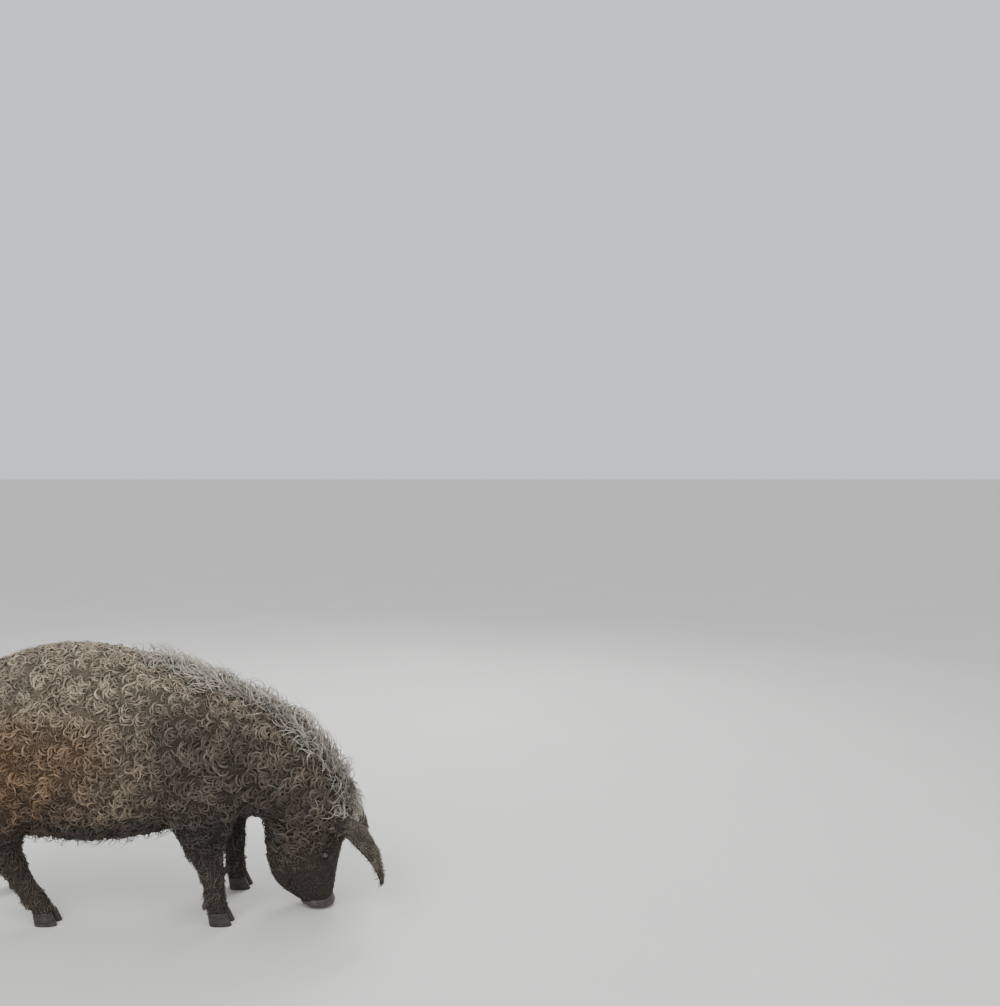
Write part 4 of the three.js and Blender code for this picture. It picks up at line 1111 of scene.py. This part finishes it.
def make_snout():
    """The disc: a wrinkled rim that grows out of the muzzle, and a flat face with two nostrils."""
    def on_face(share, angle):
        fore, aside = SNOUT_HALF_DEPTH * share * np.sin(angle), SNOUT_HALF_WIDTH * share * np.cos(angle)
        return fore, aside, SNOUT_CENTRE + MM * (
            fore[..., None] * SNOUT_FORE + aside[..., None] * np.array([0, 1.0, 0]))

    share, angle = grid(18, SNOUT_SIDES, 0, 1)
    muzzle = body_point(0 * share + SNOUT_STATION, angle, -1.0)
    edge = on_face(1 + 0 * share, angle)[2]
    along = share[..., None]
    axis = muzzle[0].mean(0) * (1 - along) + SNOUT_CENTRE * along
    swell = smooth(SNOUT_SWELL, share * (len(SNOUT_SWELL) - 1))
    swell += 0.014 * np.sin(share * 26 + np.sin(4 * angle))
    side = axis + (muzzle * (1 - along) + edge * along - axis) * swell[..., None]
    share, angle = grid(40, SNOUT_SIDES, 0.94, 0.02)
    fore, aside, flat = on_face(share, angle)
    relief = 1.6 * bump_at(share, 0.86, 0.09) - 2.6 * (1 - step_up(share, 0.3, 0.8))
    for sign in (-1, 1):
        d = np.hypot((fore - NOSTRIL_FORWARD) / NOSTRIL_STRETCH,
                     (aside - sign * NOSTRIL_APART) / NOSTRIL_SQUEEZE)
        relief += 2.0 * bump_at(d, NOSTRIL_RADIUS + 2.5, 2.4)
        relief -= NOSTRIL_DEPTH * (1 - step_up(d, NOSTRIL_RADIUS * 0.45, NOSTRIL_RADIUS))
    points = np.concatenate([side, flat + SNOUT_FACE * (relief * MM)[..., None]])
    points[..., 2] = np.maximum(points[..., 2], 0)
    return round_loft("snout", points)


CORNEA_RISE, CORNEA_REACH = 0.05, 0.5
POLE_GAP = 0.02  # how far from its poles the eyeball's rings stop; a fan of faces closes each


def make_eye(name, side):
    """An eyeball with a slightly raised cornea, which notes on each vertex the way it looks."""
    middle, out, ahead, rise = eye_frame(side)
    polar, angle = grid(40, 48, POLE_GAP, math.pi - POLE_GAP)
    radius = EYE_RADIUS * MM * (1 + CORNEA_RISE * bump_at(polar, 0, CORNEA_REACH))
    gaze = np.stack([np.sin(polar) * np.cos(angle), np.sin(polar) * np.sin(angle), np.cos(polar)], -1)
    piece = round_loft(name, middle + radius[..., None] * (gaze @ np.stack([ahead, rise, out])))
    ends = np.array([[0, 0, 1.0], [0, 0, -1.0]])
    put(piece.data, "gaze", "FLOAT_VECTOR", np.concatenate([gaze.reshape(-1, 3), ends]))
    return piece


IRIS_DARK, IRIS_BROWN = (0.012, 0.006, 0.003, 1), (0.045, 0.022, 0.01, 1)
EYE_RIM, PUPIL_BLACK = (0.07, 0.052, 0.042, 1), (0.002, 0.002, 0.002, 1)


def eye_material():
    """A brown iris round a pupil that is wider than high, under a clear wet coat."""
    made, g = material("eye_wet")
    gaze = g.attribute("gaze", 1)
    level, height, _ = g.numbers(gaze)
    iris = (level * level + height * height) ** 0.5
    pupil = ((level * level) * 9.0 + (height * height) * 20.0) ** 0.5
    fibres = g.noise(gaze, 14.0, 4.0)
    colour = g.mix(g.ramp(iris, 0.72, 0.84), g.mix(fibres, IRIS_DARK, IRIS_BROWN), EYE_RIM)
    colour = g.mix(g.ramp(pupil, 0.85, 1.05), PUPIL_BLACK, colour)
    finish_surface(g, colour, 0.08 + fibres * 0.04, {"Coat Weight": 1.0, "Coat Roughness": 0.02})
    return made


LASHES, LASH_START, LASH_END = 15, 0.14, 0.86  # their number, and where they stand along the lid
# The lid's edge from the eye's middle in millimetres: half length, height, lift and the way out
LID_EDGE = (14, 8.5, 1.5, 14)
LASH_LENGTH, LASH_GAIN = 12, 5  # in millimetres, at the lid's corners and how much more at its middle


def make_lashes(name, side):
    """A row of short curved lashes along the edge of the upper lid."""
    middle, out, ahead, rise = eye_frame(side)
    half_length, height, lift, way_out = LID_EDGE
    parts = []
    for k, turn in enumerate(np.linspace(LASH_START, LASH_END, LASHES) * math.pi):
        edge = half_length * math.cos(turn) * ahead + (lift + height * math.sin(turn)) * rise + way_out * out
        root = middle + MM * edge
        point = unit(out + 0.7 * math.cos(turn) * ahead + 0.25 * rise)
        over = unit(rise - point * (rise @ point))
        points, faces, _ = lock_part(BRISTLE_RINGS, lambda s: 0.2 * s, lambda s: -0.5 + 1.3 * s, 0.05, 0.6)
        scale = MM * (LASH_LENGTH + LASH_GAIN * math.sin(turn) + (k % 3))
        parts.append((root + scale * (points @ np.stack([point, np.cross(over, point), over])), faces))
    return joined(name, parts)


CLAW_HEIGHT, CLAW_HALF_LENGTH, CLAW_HALF_WIDTH, CLAW_APART, CLAW_SLOPE = 38, 33, 14.5, 17.5, 12
CLAW_GAP, CLAW_EDGE, CLAW_TAPER = 0.3, 3, 0.2
CLAW_BAND, CLAW_BANDS_PER_MM = 0.012, 1.5  # as a share of the claw's size, and radians a millimetre
# Each dewclaw's path: behind the foot's middle, to the side of it, height; and its radius
DEWCLAW = [(10, 15, 77, 9), (22, 16.5, 73, 10), (30, 18, 66, 10), (35, 18.5, 56, 8), (37, 19, 47, 3)]


def make_claw(name, x, y):
    """A claw: a rounded wedge that leans forward, with faint bands of growth."""
    height, angle = grid(30, 44, 0, CLAW_HEIGHT - CLAW_GAP)
    share = height / CLAW_HEIGHT
    rounded = 1 - 0.05 * (1 - step_up(height, 0, CLAW_EDGE))
    bands = CLAW_BAND * np.sin(height * CLAW_BANDS_PER_MM) * step_up(height, CLAW_EDGE, 8)
    ring = 1 + bands - CLAW_TAPER * share
    long = CLAW_HALF_LENGTH * ring * rounded * signed_power(np.cos(angle), 0.85)
    wide = CLAW_HALF_WIDTH * (0.94 + 0.06 * share) * rounded * signed_power(np.sin(angle), 0.7)
    wide *= 1 - 0.18 * np.maximum(np.cos(angle), 0)
    points = np.stack([x + CLAW_SLOPE * (1 - share) + long, y + wide, height], -1)
    return round_loft(name, (points - (ORIGIN_X, 0, 0)) * MM)


def make_dewclaws(name, x, y):
    """The two small claws behind a foot."""
    rings, sides = 26, 20
    t, angle = grid(rings, sides, 0, 1)
    radius = smooth([row[3] for row in DEWCLAW], t * (len(DEWCLAW) - 1)) * (1 + 0.03 * np.sin(60 * t)) * MM
    parts = []
    for side in (-1, 1):
        path = [(x - behind, y + side * apart, level) for behind, apart, level, _ in DEWCLAW]
        parts.append((tube(path, t, angle, radius), grid_faces(rings, sides)))
    return joined(name, parts)


def dress(piece, finish, slot, *nodes):
    """Gives a piece its material, sets it to ride on the frame's root body and hides the parts of the model
    that it stands for.
    """
    piece.data.materials.append(finish)
    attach(piece, "root")
    if nodes:
        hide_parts(*nodes)


horn = plain_material(
    "claw_horn", (0.018, 0.015, 0.013, 1), (0.055, 0.047, 0.039, 1), 60.0, 0.4, stretch=(0.6, 0.6, 3))
leather = plain_material("snout_leather", (0.030, 0.023, 0.021, 1), (0.085, 0.066, 0.058, 1), 120.0, 0.38)
lash = plain_material("lash_hair", (0.02, 0.017, 0.014, 1), (0.06, 0.05, 0.04, 1), 200.0, 0.6)
wet = eye_material()
dress(make_snout(), leather, "dark_skin", "snout_disc")
for name, side in (("eye_right", -1), ("eye_left", 1)):
    dress(make_eye(f"{name}ball", side), wet, "eye", name)
    dress(make_lashes(f"{name}_lashes", side), lash, "curly_coat")
for leg, rows in LEGS.items():
    x, y = rows[-1][:2]
    for part, side in (("outer", np.sign(y)), ("inner", -np.sign(y))):
        node = f"{leg}_claw_{part}"
        dress(make_claw(f"{node}_horn", x, y + side * CLAW_APART), horn, "claw", node)
    dress(make_dewclaws(f"{leg}_dewclaws", x, y), horn, "claw")


# Floor, light and camera
FLOOR_REACH = 60.0
LIGHTS = {  # place, what it shines at, size in metres, power in watts
    "key": ((-1.2, -2.4, 3.8), (0, 0, 0.4), 2.0, 100),
    "fill": ((3.2, -2.4, 2.2), (0, 0, 0.4), 2.6, 25),
    "rim": ((0.9, 3.0, 3.2), (0, 0, 0.5), 2.0, 110),
}
SKY_COLOUR, SKY_STRENGTH = (0.9, 0.92, 0.95, 1), 0.95


def make_stage():
    corners = [(-1, -1, 0), (1, -1, 0), (1, 1, 0), (-1, 1, 0)]
    floor = new_object("floor", np.array(corners) * FLOOR_REACH, [(0, 1, 2, 3)])
    made, g = material("pale_floor")
    colour = g.mix(g.noise(g.place(), 1.5, 2.0), (0.70, 0.69, 0.66, 1), (0.76, 0.75, 0.72, 1))
    finish_surface(g, colour, 0.85, {})
    floor.data.materials.append(made)


def add_light(name, place, target, size, power):
    lamp = bpy.data.lights.new(name, "AREA")
    lamp.size, lamp.energy = size, power
    holder = bpy.data.objects.new(name, lamp)
    holder.location = place
    holder.rotation_euler = (Vector(target) - Vector(place)).to_track_quat("-Z", "Y").to_euler()
    bpy.context.scene.collection.objects.link(holder)


def light_scene():
    for name, (place, target, size, power) in LIGHTS.items():
        add_light(name, place, target, size, power)
    world = bpy.data.worlds.new("soft_sky")
    world.use_nodes = True
    background = world.node_tree.nodes["Background"]
    background.inputs["Color"].default_value = SKY_COLOUR
    background.inputs["Strength"].default_value = SKY_STRENGTH
    bpy.context.scene.world = world


CAMERA_PLACE = ((1105 - ORIGIN_X) * MM, -2.978, 1.38)
# In pixels: how far the picture lies from the lens, how high it is and how far down it looks
FOCAL_PIXELS, PICTURE_PIXELS, PIXELS_DOWN = 980, 1006, 45
SENSOR_WIDTH = 36


def place_camera():
    lens = bpy.data.cameras.new("camera")
    lens.lens = SENSOR_WIDTH * FOCAL_PIXELS / PICTURE_PIXELS
    lens.sensor_width, lens.sensor_fit = SENSOR_WIDTH, "AUTO"
    holder = bpy.data.objects.new("camera", lens)
    holder.location = CAMERA_PLACE
    holder.rotation_euler = (math.pi / 2 - math.atan2(PIXELS_DOWN, FOCAL_PIXELS), 0, 0)
    bpy.context.scene.collection.objects.link(holder)
    bpy.context.scene.camera = holder


make_stage()
light_scene()
place_camera()
